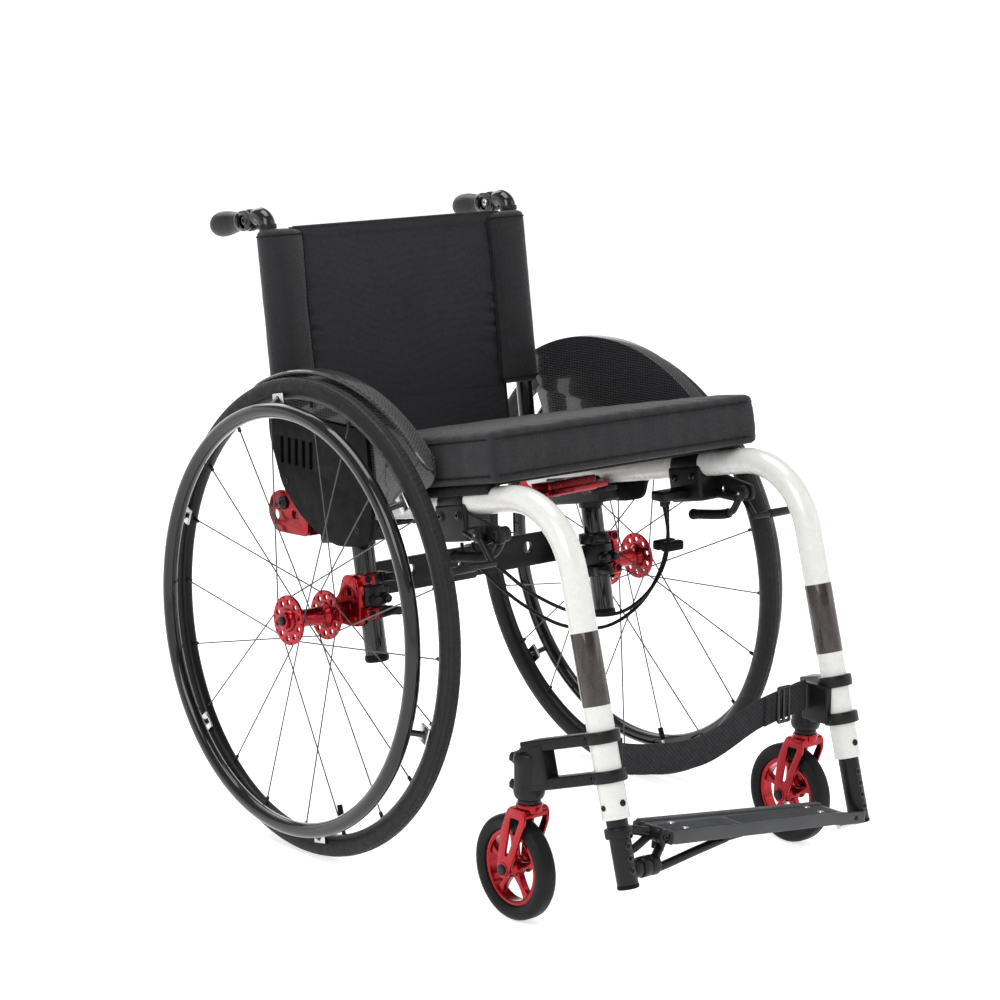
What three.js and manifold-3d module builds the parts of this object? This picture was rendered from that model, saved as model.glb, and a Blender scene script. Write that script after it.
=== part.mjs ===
// Manual wheelchair with a horizontally folding frame.
// Millimetres, +Z up. The chair faces -Y. The sitter's left is +X.
// Every piece is built for the left (+X) side, and the right side mirrors it.
// Working heights and depths are measured from the floor point under the rear axles.
// The finished group is then moved so that the origin is the middle of the footprint.

import * as THREE from 'three';
import * as BufferGeometryUtils from 'three/addons/utils/BufferGeometryUtils.js';
import { RoundedBoxGeometry } from 'three/addons/geometries/RoundedBoxGeometry.js';
import Module from 'manifold-3d';

const wasm = await Module();
wasm.setup();

// ---------------------------------------------------------------- sizes

const GAP = 0.3; // between pieces that rest on each other
const RUNNING_GAP = 0.6; // between pieces that turn or slide

// sides of the round shapes
const RING_SIDES = 36; // wheels
const CASTOR_SIDES = 24;
const TUBE_SIDES = 12; // frame tubes
const PIN_SIDES = 8; // pins, screws and their holes

// rear wheels
const WHEEL_RADIUS = 297;
const TYRE_RADIUS = 12.5; // half the tyre's own thickness
const WHEEL_TRACK = 517.2; // between the wheels' middle planes, at axle height
const CAMBER_DEG = 2;
const RIM_OUTER = 283;
const RIM_INNER = 270;
const RIM_HALF_WIDTH = 10.5;
const HANDRIM_RADIUS = 258.5;
const HANDRIM_TUBE = 9.5;
const HANDRIM_OFFSET = 35;
const HANDRIM_TABS = 6;
const HUB_FLANGE_RADIUS = 31;
const HUB_FLANGE_OFFSET = 28;
const HUB_FLANGE_WIDTH = 4;
const HUB_BARREL = 11;
const SPOKE_COUNT = 20;
const SPOKE_RADIUS = 1.3;
const AXLE_RADIUS = 6;

// castors
const CASTOR_RADIUS = 63;
const CASTOR_TYRE_HALF = 12.5;
const CASTOR_RIM_RADIUS = 46;
const CASTOR_TRACK = 448;
const CASTOR_STEM_Y = -385;
const CASTOR_TRAIL = 25;
const CASTOR_SPOKES = 5;
const FORK_PLATE = 4;
const FORK_CROWN_RADIUS = 16;
const FORK_CROWN_TOP = 149;
const STEM_RADIUS = 6;
const HOUSING_RADIUS = 18;
const HOUSING_HEIGHT = 55;
const BAND_RADIUS = 21; // clamp bands round the leg

// main frame
const FRAME_TUBE = 16; // radius
const RAIL_X = 187;
const RAIL_SLOPE_DEG = 11;
const RAIL_FRONT = [-303, 483]; // a point of the rail's axis (Y, Z)
const RAIL_REAR_Y = 97;
const BEND_RADIUS = 95;
const LEG_LEAN_DEG = 15.45;
const LEG_INSET_TOP_Z = 351;
const LEG_INSET_LENGTH = 84;
const LEG_INSET_DEPTH = 1.5;
const LEG_POINT = [-436.9, 351.2]; // a point of the leg's axis (Y, Z)
const LEG_BOTTOM_Z = 146.3;

// foot tubes and footplate
const FOOT_TUBE = 12.5; // radius
const FOOT_BOTTOM_Z = 72;
const FOOT_INSERTED = 96;
const FOOT_HOLE = 3;
const PLATE_TILT_DEG = 6.8;
const PLATE_DEPTH = 49;
const PLATE_THICKNESS = 15;
const PLATE_REAR_Y = -475.5;
const PLATE_HINGE_X = -138;
const PLATE_HINGE_Z = 121;
const PLATE_LENGTH = 292;
const PLATE_LIP = 34;
const PLATE_LIP_DEPTH = 5;
const STRUT_SEAT = 32; // from the leg's middle plane to the strut's seat

// rear posts, axle clamps and cross bar
const POST_TUBE = 14; // radius
const POST_X = 187.5;
const POST_BOTTOM = [-46, 245]; // lower end of the post's axis (Y, Z)
const POST_HEAD = [110, 34, 24]; // length, width, depth under the rail
const CLAMP_RING = 22; // radius
const CLAMP_RING_HEIGHT = 15;
const CLAMP_PITCH = 42;
const BAR_HEIGHT = 43;
const BAR_THICKNESS = 8;
const BAR_Z = 330;
const BAR_OVERLAP = 16;
const BAR_HOLE = 8;

// folding links
const LINK_PIVOT_X = 160;
const LINK_PIVOT_Y = -62;
const LINK_REACH = 30; // how far forward the middle hinge lies
const LINK_WIDTH = 40;
const LINK_THICKNESS = 8;
const LINK_DROP = 14; // under the rail's axis
const LINK_STEP = 36; // radius of the half-thick end at the middle hinge
const LINK_PIN = 7;

// side guards and covers
const GUARD_X = 217.5; // inner face
const GUARD_WALL = 2.5;
const GUARD_LIP = 22;
const GUARD_RADIUS = 305;
const GUARD_REAR_Y = 150;
const GUARD_FRONT_Y = -207;
const COVER_THICKNESS = 6;

// backrest
const CANE_TUBE = 11; // radius
const CANE_X = 196;
const CANE_FOOT = [114, 418]; // pivot (Y, Z)
const RECLINE_DEG = 8;
const CANE_LENGTH = 352;
const BOLSTER_HALF = [19.5, 17]; // across, front to back
const BOLSTER_FROM = 118;
const BOLSTER_TO = 341;
const BACK_SLING = 9;
const SKIRT = [300, 4, 95]; // the sheet behind the cushion: width, thickness, height
const SKIRT_FROM = 40; // its lower edge, along the cane
const HANDLE_GRIP = 15.5;
const HANDLE_LENGTH = 86;
const HANDLE_PIVOT = [200, 768]; // (Y, Z)

// seat
const CUSHION = [406.8, 402, 60]; // width, length, thickness
const CUSHION_FRONT_Y = -314;
const CUSHION_RADIUS = 12;
const CUSHION_NOTCH = [24, 54]; // cut from each rear corner for the cane, width and length
const SLING_THICKNESS = 3;

// wheel locks
const LOCK_CLAMP_Y = -215;
const LOCK_CLAMP_LENGTH = 58;
const LOCK_X = 206;
const LOCK_PIVOT = [-300, 442]; // lever's pivot (Y, Z)
const SHOE_PIVOT = [-276, 440];
const SHOE_ROD = [-303, 407];
const SHOE_ROD_RADIUS = 4;
const SHOE_ROD_END_X = 270;
const LEVER_TUBE = 5; // radius

// calf strap and cables
const STRAP_HEIGHT = 38;
const STRAP_THICKNESS = 3;
const CABLE_RADIUS = 2.3;

// ------------------------------------------------------- derived places

const rad = THREE.MathUtils.degToRad;
const AXLE_Z = (WHEEL_RADIUS - TYRE_RADIUS) * Math.cos(rad(CAMBER_DEG)) + TYRE_RADIUS;
const SLOPE = Math.tan(rad(RAIL_SLOPE_DEG));
const LEAN = Math.tan(rad(LEG_LEAN_DEG));
const railZ = (y) => RAIL_FRONT[1] - SLOPE * (y - RAIL_FRONT[0]);
const legY = (z) => LEG_POINT[0] + LEAN * (z - LEG_POINT[1]);
const legPoint = (z) => [legY(z), z];
const POST_LENGTH = (railZ(POST_BOTTOM[0]) - POST_BOTTOM[1]) * Math.cos(rad(RAIL_SLOPE_DEG));
const postAt = (z) => POST_BOTTOM[0] + SLOPE * (z - POST_BOTTOM[1]);

// ------------------------------------------------------------ materials

const COLOURS = {
  white: { color: 0xf1f0ea, roughness: 0.22, metalness: 0.0 },
  red: { color: 0x9c1622, roughness: 0.28, metalness: 0.75 },
  black: { color: 0x17171a, roughness: 0.42, metalness: 0.1 },
  inset: { color: 0x2a2220, roughness: 0.3, metalness: 0.6 },
  rubber: { color: 0x1b1b1b, roughness: 0.8, metalness: 0.0 },
  fabric: { color: 0x1c1b1e, roughness: 0.9, metalness: 0.0 },
  carbon: { color: 0x25262a, roughness: 0.2, metalness: 0.3 },
  grey: { color: 0x45464a, roughness: 0.5, metalness: 0.3 },
  steel: { color: 0xb9bbbe, roughness: 0.25, metalness: 1.0 },
};

// -------------------------------------------------------- solid helpers

// A closed solid from any closed geometry.
function solid(geometry, matrix) {
  const bare = geometry.clone();
  bare.deleteAttribute('normal');
  bare.deleteAttribute('uv');
  if (matrix) bare.applyMatrix4(matrix);
  const merged = BufferGeometryUtils.mergeVertices(bare, 1e-4);
  const mesh = new wasm.Mesh({
    numProp: 3,
    vertProperties: new Float32Array(merged.attributes.position.array),
    triVerts: new Uint32Array(merged.index.array),
  });
  return new wasm.Manifold(mesh);
}

function join(...solids) {
  return solids.reduce((all, one) => all.add(one));
}

function geometryOf(body) {
  const mesh = body.getMesh();
  const geometry = new THREE.BufferGeometry();
  const positions = new Float32Array(mesh.vertProperties);
  geometry.setAttribute('position', new THREE.BufferAttribute(positions, 3));
  geometry.setIndex(new THREE.BufferAttribute(new Uint32Array(mesh.triVerts), 1));
  geometry.computeVertexNormals();
  return geometry;
}

const at = (x, y, z) => new THREE.Matrix4().makeTranslation(x, y, z);
const turnX = (angle) => new THREE.Matrix4().makeRotationX(angle);
const turnY = (angle) => new THREE.Matrix4().makeRotationY(angle);
const turnZ = (angle) => new THREE.Matrix4().makeRotationZ(angle);
const chain = (...matrices) => matrices.reduce((all, one) => all.clone().multiply(one));

function box(size, matrix) {
  return solid(new THREE.BoxGeometry(size[0], size[1], size[2]), matrix);
}

// A box between two corners.
function block(low, high) {
  const size = [high[0] - low[0], high[1] - low[1], high[2] - low[2]];
  const middle = at((low[0] + high[0]) / 2, (low[1] + high[1]) / 2, (low[2] + high[2]) / 2);
  return box(size, middle);
}

// A round bar from a to b, a cone if the two radii differ.
function bar(a, b, radius, sides = 16, endRadius = radius) {
  const from = new THREE.Vector3(...a);
  const to = new THREE.Vector3(...b);
  const along = to.clone().sub(from);
  const length = along.length();
  const geometry = new THREE.CylinderGeometry(endRadius, radius, length, sides);
  const turn = new THREE.Quaternion();
  turn.setFromUnitVectors(new THREE.Vector3(0, 1, 0), along.normalize());
  const middle = from.add(to).multiplyScalar(0.5);
  return solid(geometry, new THREE.Matrix4().compose(middle, turn, new THREE.Vector3(1, 1, 1)));
}

// A ring or disc turned about the X axis. The profile is a closed list of [x, radius].
function turned(profile, sides, matrix) {
  const points = profile.map(([x, r]) => new THREE.Vector2(r, x));
  if (THREE.ShapeUtils.area(points) < 0) points.reverse();
  const last = points.length - 1;
  if (points[0].x > 0 || points[last].x > 0) points.push(points[0].clone());
  const toX = turnZ(-Math.PI / 2);
  return solid(new THREE.LatheGeometry(points, sides), matrix ? chain(matrix, toX) : toX);
}

// A path that passes through its own stations, with even tangents at each.
class Route extends THREE.Curve {
  constructor(points) {
    super();
    this.points = points.map((p) => new THREE.Vector3(...p));
  }

  getPoint(t) {
    const last = this.points.length - 1;
    const place = Math.min(Math.max(t, 0), 1) * last;
    const index = Math.min(Math.floor(place), last - 1);
    return this.points[index].clone().lerp(this.points[index + 1], place - index);
  }

  getPointAt(u) {
    return this.getPoint(u);
  }

  getSpacedPoints() {
    return this.points.map((p) => p.clone());
  }

  getTangentAt(u) {
    const last = this.points.length - 1;
    const index = Math.round(u * last);
    const before = this.points[Math.max(index - 1, 0)];
    const after = this.points[Math.min(index + 1, last)];
    const here = this.points[index];
    const first = here.clone().sub(before).normalize();
    const second = after.clone().sub(here).normalize();
    return first.add(second).normalize();
  }
}

// A flat outline carried along stations in space.
function sweep(outline, stations) {
  const shape = new THREE.Shape(outline.map(([u, v]) => new THREE.Vector2(u, v)));
  const route = new Route(stations);
  const options = { steps: stations.length - 1, extrudePath: route, bevelEnabled: false };
  return solid(new THREE.ExtrudeGeometry(shape, options));
}

// The radius of a many-sided hole whose flat sides stay clear of a round bar.
const clearOf = (radius, gap, sides) => (radius + gap) / Math.cos(Math.PI / sides);

function circleOutline(radius, sides) {
  const outline = [];
  for (let i = 0; i < sides; i += 1) {
    const angle = (2 * Math.PI * i) / sides;
    outline.push([radius * Math.cos(angle), radius * Math.sin(angle)]);
  }
  return outline;
}

const pipe = (radius, stations, sides = 16) => sweep(circleOutline(radius, sides), stations);

// A plate from an outline of [y, z] points, between two x values.
function plate(outline, x0, x1) {
  const shape = new THREE.Shape(outline.map(([y, z]) => new THREE.Vector2(y, z)));
  const geometry = new THREE.ExtrudeGeometry(shape, { depth: x1 - x0, bevelEnabled: false });
  const axes = new THREE.Matrix4().set(0, 0, 1, x0, 1, 0, 0, 0, 0, 1, 0, 0, 0, 0, 0, 1);
  return solid(geometry, axes);
}

// A plate from an outline of [x, y] points, between two z values.
function slab(outline, z0, z1, matrix) {
  const shape = new THREE.Shape(outline.map(([x, y]) => new THREE.Vector2(x, y)));
  const geometry = new THREE.ExtrudeGeometry(shape, { depth: z1 - z0, bevelEnabled: false });
  const lift = at(0, 0, z0);
  return solid(geometry, matrix ? chain(matrix, lift) : lift);
}

// Points of an arc in the Y-Z plane.
function arcPoints(centre, radius, from, to, steps) {
  const points = [];
  for (let i = 0; i <= steps; i += 1) {
    const angle = from + ((to - from) * i) / steps;
    points.push([centre[0] + radius * Math.cos(angle), centre[1] + radius * Math.sin(angle)]);
  }
  return points;
}

// Smooth stations through a few chosen points.
function smooth(points, steps) {
  const curve = new THREE.CatmullRomCurve3(points.map((p) => new THREE.Vector3(...p)));
  return curve.getSpacedPoints(steps).map((p) => [p.x, p.y, p.z]);
}

// The frame of the seat: its Y axis follows the rail, its origin is on the rail's axis.
const seatFrame = (x, y) => chain(at(x, y, railZ(y)), turnX(-rad(RAIL_SLOPE_DEG)));

// The frame of a front leg: its Z axis follows the leg upwards.
const legFrame = (x, z) => chain(at(x, legY(z), z), turnX(-rad(LEG_LEAN_DEG)));

// The frame of a rear post: its Z axis follows the post upwards.
const postFrame = (z) => chain(at(POST_X, postAt(z), z), turnX(-rad(RAIL_SLOPE_DEG)));

// The frame of a back cane: its Z axis follows the cane, its origin is the pivot.
const caneFrame = (x) => chain(at(x, CANE_FOOT[0], CANE_FOOT[1]), turnX(-rad(RECLINE_DEG)));

// The frame of a rear wheel: its X axis is the axle, pointing outwards.
const wheelFrame = () => chain(at(WHEEL_TRACK / 2, 0, AXLE_Z), turnY(-rad(CAMBER_DEG)));

// ------------------------------------------------------------ main frame

// The rail, the front bend and the leg, as one bent tube.
function framePath() {
  const alpha = rad(RAIL_SLOPE_DEG);
  const beta = rad(LEG_LEAN_DEG);
  const along = [-Math.cos(alpha), Math.sin(alpha)];
  const down = [-Math.sin(beta), -Math.cos(beta)];
  const leg = LEG_POINT;
  const k = leg[0] - RAIL_FRONT[0] + LEAN * (RAIL_FRONT[1] - leg[1]);
  const corner = cornerOf(k);
  const turn = Math.acos(along[0] * down[0] + along[1] * down[1]);
  const reach = BEND_RADIUS * Math.tan(turn / 2);
  const start = [corner[0] - along[0] * reach, corner[1] - along[1] * reach];
  const inward = [-along[1], along[0]];
  const centre = [start[0] + inward[0] * BEND_RADIUS, start[1] + inward[1] * BEND_RADIUS];
  const first = Math.atan2(start[1] - centre[1], start[0] - centre[0]);
  const bend = arcPoints(centre, BEND_RADIUS, first, first + turn, 8);
  return [[RAIL_REAR_Y, railZ(RAIL_REAR_Y)], ...bend, legPoint(LEG_BOTTOM_Z)];
}

// Where the rail's axis meets the leg's axis, k being their distance at the rail's height.
function cornerOf(k) {
  const y = RAIL_FRONT[0] + k / (1 + LEAN * SLOPE);
  return [y, railZ(y)];
}

function frameTube() {
  const stations = framePath().map(([y, z]) => [RAIL_X, y, z]);
  const tube = pipe(FRAME_TUBE, stations, TUBE_SIDES);
  const foot = legFrame(RAIL_X, LEG_BOTTOM_Z);
  const boreTop = FOOT_INSERTED + RUNNING_GAP;
  const boreRadius = clearOf(FOOT_TUBE, 0.1, TUBE_SIDES);
  const bore = solid(
    new THREE.CylinderGeometry(boreRadius, boreRadius, boreTop + 10, TUBE_SIDES),
    chain(foot, at(0, 0, boreTop / 2 - 5), turnX(Math.PI / 2)),
  );
  const groove = insetRing(FRAME_TUBE + 4, FRAME_TUBE - LEG_INSET_DEPTH - GAP, GAP);
  return tube.subtract(bore).subtract(groove);
}

// The ring of space round the leg that the dark sleeve fills.
function insetRing(outer, inner, extra) {
  const half = LEG_INSET_LENGTH / 2 + extra;
  const profile = [[-half, inner], [half, inner], [half, outer], [-half, outer]];
  const place = legFrame(RAIL_X, LEG_INSET_TOP_Z - (LEG_INSET_LENGTH / 2) * Math.cos(rad(LEG_LEAN_DEG)));
  return turned(profile, TUBE_SIDES, chain(place, turnY(-Math.PI / 2)));
}

function legInset() {
  return insetRing(FRAME_TUBE - 0.4, FRAME_TUBE - LEG_INSET_DEPTH, 0);
}

// --------------------------------------------------- rear post and clamps

function rearPost() {
  const head = box([POST_HEAD[1], POST_HEAD[0], POST_HEAD[2] + FRAME_TUBE], chain(
    seatFrame(RAIL_X, POST_BOTTOM[0] + SLOPE * POST_LENGTH + 12),
    at(0, 0, -(POST_HEAD[2] + FRAME_TUBE) / 2),
  ));
  const rail = bar([RAIL_X, -250, railZ(-250)], [RAIL_X, 200, railZ(200)], clearOf(FRAME_TUBE, GAP, TUBE_SIDES), TUBE_SIDES);
  const top = POST_LENGTH - FRAME_TUBE - 4;
  const foot = postFrame(POST_BOTTOM[1]);
  const tube = solid(
    new THREE.CylinderGeometry(POST_TUBE, POST_TUBE, top, TUBE_SIDES),
    chain(foot, at(0, 0, top / 2), turnX(Math.PI / 2)),
  );
  const tongue = linkTongue();
  return join(tube, head, tongue).subtract(rail);
}

// The plate under the folding link that carries its pivot pin, on the post's head.
function linkTongue() {
  const place = seatFrame(0, LINK_PIVOT_Y);
  const under = -LINK_DROP - LINK_THICKNESS / 2 - RUNNING_GAP - 6;
  const outer = RAIL_X - POST_HEAD[1] / 2 + 6;
  const lower = roundEnded(LINK_PIVOT_X, outer, 14, under, under + 6, place);
  const pin = solid(
    new THREE.CylinderGeometry(LINK_PIN, LINK_PIN, LINK_THICKNESS + 8, PIN_SIDES),
    chain(place, at(LINK_PIVOT_X, 0, -LINK_DROP - 2), turnX(Math.PI / 2)),
  );
  return join(lower, pin);
}

// A flat bar from x0 to x1 with a round end at x0.
function roundEnded(x0, x1, half, z0, z1, matrix) {
  const outline = [[x1, -half], [x1, half]];
  for (let i = 0; i <= 8; i += 1) {
    const angle = Math.PI / 2 + (Math.PI * i) / 8;
    outline.push([x0 + half * Math.cos(angle), half * Math.sin(angle)]);
  }
  return slab(outline, z0, z1, matrix);
}

function clampRing(z, height, radius = CLAMP_RING) {
  const inner = clearOf(POST_TUBE, GAP, TUBE_SIDES);
  const half = height / 2;
  const profile = [[-half, inner], [half, inner], [half, radius], [-half, radius]];
  return turned(profile, TUBE_SIDES, chain(postFrame(z), turnY(-Math.PI / 2)));
}

// Two rings on the post, joined by a cheek that holds the stub axle.
function axleClamp() {
  const low = AXLE_Z + 2;
  const rings = join(clampRing(low, CLAMP_RING_HEIGHT), clampRing(low + CLAMP_PITCH, CLAMP_RING_HEIGHT));
  const y = postAt(AXLE_Z);
  const x0 = POST_X + POST_TUBE + 3;
  const cheek = plate([
    [y - 12, AXLE_Z - 11], [y + 22, AXLE_Z - 14], [18, AXLE_Z - 8], [19, AXLE_Z + 8],
    [y + 34, AXLE_Z + 22], [y + 24, AXLE_Z + 50], [y - 2, AXLE_Z + 52], [y - 10, AXLE_Z + 34],
  ], x0, x0 + 9);
  const place = wheelFrame();
  const boss = turned([[-52, 0], [-52, 15], [-34, 12], [-34, 0]], TUBE_SIDES, place);
  const axle = turned([[-50, 0], [-50, AXLE_RADIUS], [37, AXLE_RADIUS], [37, 0]], PIN_SIDES, place);
  const postClear = clearOf(POST_TUBE, GAP, TUBE_SIDES);
  const space = clampRing(low + CLAMP_PITCH / 2, CLAMP_PITCH - CLAMP_RING_HEIGHT - 0.2, CLAMP_RING + 2);
  const post = solid(
    new THREE.CylinderGeometry(postClear, postClear, 400, TUBE_SIDES),
    chain(postFrame(AXLE_Z), turnX(Math.PI / 2)),
  );
  return join(rings, cheek, boss, axle).subtract(space).subtract(post);
}

// Half of the rear cross bar, with the ring that holds it to the post and its clamp screws.
function rearBar(isRight) {
  const low = AXLE_Z + 2;
  const height = CLAMP_PITCH - CLAMP_RING_HEIGHT - 2 * GAP - 0.6;
  const middle = low + CLAMP_PITCH / 2;
  const ring = clampRing(middle, height, CLAMP_RING - 1);
  const front = isRight ? -3 : -3 + BAR_THICKNESS + RUNNING_GAP;
  const inner = -BAR_OVERLAP / 2;
  const outer = POST_X - 4;
  const strip = block(
    [inner, front, BAR_Z - BAR_HEIGHT / 2],
    [POST_X - CLAMP_RING - 3, front + BAR_THICKNESS, BAR_Z + BAR_HEIGHT / 2],
  );
  const y = postAt(middle);
  const lug = block(
    [POST_X - CLAMP_RING - 12, y + 4, middle - height / 2 + 6],
    [outer, front + BAR_THICKNESS, middle + height / 2 - 6],
  );
  const hole = bar([100, -40, BAR_Z + 4], [100, 60, BAR_Z + 4], BAR_HOLE, PIN_SIDES);
  const post = bar([POST_X, postAt(200), 200], [POST_X, postAt(400), 400], clearOf(POST_TUBE, GAP, TUBE_SIDES), TUBE_SIDES);
  const screws = [-1, 1].map((side) => bar(
    [POST_X + side * 8, y - CLAMP_RING + 6, middle],
    [POST_X + side * 8, y - CLAMP_RING - 12, middle],
    5, 8,
  ));
  return join(ring, strip, lug, ...screws).subtract(post).subtract(hole);
}

// ------------------------------------------------------------ folding link

// One half of the folding brace: from the rail's pivot to the hinge in the middle.
function foldLink(isRight) {
  const place = seatFrame(0, LINK_PIVOT_Y);
  const half = LINK_WIDTH / 2;
  const dx = LINK_PIVOT_X;
  const length = Math.hypot(dx, LINK_REACH);
  const frame = chain(place, at(dx, 0, -LINK_DROP), turnZ(Math.PI + Math.atan2(LINK_REACH, dx)));
  const outline = [];
  for (let i = 0; i <= 8; i += 1) {
    const angle = Math.PI / 2 + (Math.PI * i) / 8;
    outline.push([half * 0.7 * Math.cos(angle), half * 0.7 * Math.sin(angle)]);
  }
  outline.push([length * 0.45, -half]);
  for (let i = 0; i <= 8; i += 1) {
    const angle = -Math.PI / 2 + (Math.PI * i) / 8;
    outline.push([length + half * 0.8 * Math.cos(angle), half * 0.8 * Math.sin(angle)]);
  }
  outline.push([length * 0.45, half]);
  const t = LINK_THICKNESS / 2;
  const body = slab(outline, -t, t, frame);
  const pivot = solid(
    new THREE.CylinderGeometry(LINK_PIN + RUNNING_GAP, LINK_PIN + RUNNING_GAP, 60, PIN_SIDES),
    chain(frame, turnX(Math.PI / 2)),
  );
  const halfStep = solid(
    new THREE.CylinderGeometry(LINK_STEP, LINK_STEP, 2 * t, 16),
    chain(frame, at(length, 0, isRight ? t - GAP / 2 : GAP / 2 - t), turnX(Math.PI / 2)),
  );
  const middle = (radius, from, to) => solid(
    new THREE.CylinderGeometry(radius, radius, to - from, PIN_SIDES),
    chain(frame, at(length, 0, (from + to) / 2), turnX(Math.PI / 2)),
  );
  const link = body.subtract(pivot).subtract(halfStep);
  if (isRight) return link.subtract(middle(clearOf(5, RUNNING_GAP, PIN_SIDES), -20, 20));
  return join(link, middle(5, -t - 2.5, t), middle(8, -t - 6, -t - RUNNING_GAP));
}

// ------------------------------------------------------------ rear wheel

function ringProfile(x, radius, across, high, sides) {
  const profile = [];
  for (let i = 0; i < sides; i += 1) {
    const angle = (2 * Math.PI * (i + 0.5)) / sides;
    profile.push([x + across * Math.cos(angle), radius + high * Math.sin(angle)]);
  }
  return profile;
}

function wheelTyre() {
  const middle = WHEEL_RADIUS - TYRE_RADIUS;
  const floor = RIM_OUTER - 3 + GAP;
  const profile = [[-5, floor]];
  for (let i = 0; i <= 6; i += 1) {
    const angle = Math.PI + rad(20) - (rad(220) * i) / 6;
    profile.push([TYRE_RADIUS * Math.cos(angle), middle + TYRE_RADIUS * Math.sin(angle)]);
  }
  profile.push([5, floor]);
  return turned(profile, RING_SIDES, wheelFrame());
}

function wheelRim() {
  const w = RIM_HALF_WIDTH;
  const profile = [
    [-w, RIM_OUTER - 9], [-5, RIM_INNER], [5, RIM_INNER], [w, RIM_OUTER - 9],
    [5, RIM_OUTER - 3], [-5, RIM_OUTER - 3],
  ];
  return turned(profile, RING_SIDES, wheelFrame());
}

// The hand ring and the tabs that hold it to the rim's inner edge.
function handrim() {
  const profile = ringProfile(HANDRIM_OFFSET, HANDRIM_RADIUS, HANDRIM_TUBE, HANDRIM_TUBE, 6);
  const ring = turned(profile, RING_SIDES);
  const tabs = [];
  for (let i = 0; i < HANDRIM_TABS; i += 1) {
    const from = new THREE.Vector3(2, 0, RIM_INNER - 2.8);
    const to = new THREE.Vector3(HANDRIM_OFFSET - HANDRIM_TUBE + 3, 0, HANDRIM_RADIUS + 2);
    const turnTo = turnX((2 * Math.PI * (i + 0.5)) / HANDRIM_TABS);
    const ends = [from, to].map((p) => p.applyMatrix4(turnTo).toArray());
    tabs.push(bar(ends[0], ends[1], 4, 6));
  }
  const w = RIM_HALF_WIDTH;
  const rimSpace = turned([
    [-20, RIM_INNER - 1], [5.5, RIM_INNER - 1], [w + 1, RIM_OUTER - 9], [w + 1, RIM_OUTER + 20], [-20, RIM_OUTER + 20],
  ], RING_SIDES);
  return solid(geometryOf(join(ring, ...tabs).subtract(rimSpace)), wheelFrame());
}

function wheelHub() {
  const f = HUB_FLANGE_OFFSET;
  const w = HUB_FLANGE_WIDTH / 2;
  const R = HUB_FLANGE_RADIUS;
  const bore = AXLE_RADIUS + RUNNING_GAP;
  const profile = [
    [-f - w - 3, bore], [-f - w - 3, 14], [-f - w, R], [-f + w, R], [-f + w, 16], [-f + 8, HUB_BARREL],
    [f - 8, HUB_BARREL], [f - w, 16], [f - w, R], [f + w, R], [f + w + 4, 14], [f + w + 4, bore],
  ];
  return turned(profile, SPOKE_COUNT, wheelFrame());
}

// The spokes leave a steel reel that lies inside the hub's flanges and reach the rim.
function wheelSpokes() {
  const f = HUB_FLANGE_OFFSET;
  const w = HUB_FLANGE_WIDTH / 2;
  const low = HUB_BARREL + GAP;
  const edge = HUB_FLANGE_RADIUS + 1.5;
  const nearX = f - w - GAP;
  const reel = turned([
    [-nearX, edge], [-nearX, 19], [-f + 11, low], [f - 11, low],
    [nearX, 19], [nearX, edge], [f - 13, low + 2], [-f + 13, low + 2],
  ], SPOKE_COUNT);
  const parts = [];
  const reach = RIM_INNER - 1.5;
  for (let i = 0; i < SPOKE_COUNT; i += 1) {
    const side = i % 2 ? 1 : -1;
    const hand = i % 4 < 2 ? 1 : -1;
    const angle = (2 * Math.PI * i) / SPOKE_COUNT;
    const start = angle - hand * (2 * Math.PI * 3) / SPOKE_COUNT;
    const x = side * (nearX - 1.8);
    const from = [x, (edge - 3) * Math.cos(start), (edge - 3) * Math.sin(start)];
    const to = [side * 1.2, reach * Math.cos(angle), reach * Math.sin(angle)];
    parts.push(bar(from, to, SPOKE_RADIUS, 3));
  }
  return solid(geometryOf(join(reel, ...parts)), wheelFrame());
}

// ---------------------------------------------------------------- castor

const castorAxleY = CASTOR_STEM_Y + CASTOR_TRAIL;
const castorFrame = () => at(CASTOR_TRACK / 2, castorAxleY, CASTOR_RADIUS);

function castorTyre() {
  const h = CASTOR_TYRE_HALF;
  const R = CASTOR_RADIUS;
  const profile = [
    [-7, CASTOR_RIM_RADIUS + GAP], [7, CASTOR_RIM_RADIUS + GAP], [h, R - 12], [h - 1.5, R - 5],
    [h - 6, R], [-h + 6, R], [-h + 1.5, R - 5], [-h, R - 12],
  ];
  return turned(profile, CASTOR_SIDES, castorFrame());
}

function castorRim() {
  const R = CASTOR_RIM_RADIUS;
  const felly = turned([[-7, R], [-7, R - 6], [7, R - 6], [7, R]], CASTOR_SIDES);
  const hub = turned([[-11, 0], [-11, 8], [-7, 11], [7, 11], [11, 8], [11, 0]], TUBE_SIDES);
  const spokes = [];
  for (let i = 0; i < CASTOR_SPOKES; i += 1) {
    const web = slab([[9, -4], [R - 4, -3], [R - 4, 3], [9, 4]], -5, 5);
    const lay = new THREE.Matrix4().set(0, 0, 1, 0, 1, 0, 0, 0, 0, 1, 0, 0, 0, 0, 0, 1);
    const turnTo = turnX((2 * Math.PI * i) / CASTOR_SPOKES + rad(90));
    spokes.push(solid(geometryOf(web), chain(turnTo, lay)));
  }
  const bore = turned([[-30, 0], [-30, 4.6], [30, 4.6], [30, 0]], PIN_SIDES);
  const rim = join(felly, hub, ...spokes).subtract(bore);
  return solid(geometryOf(rim), castorFrame());
}

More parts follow.
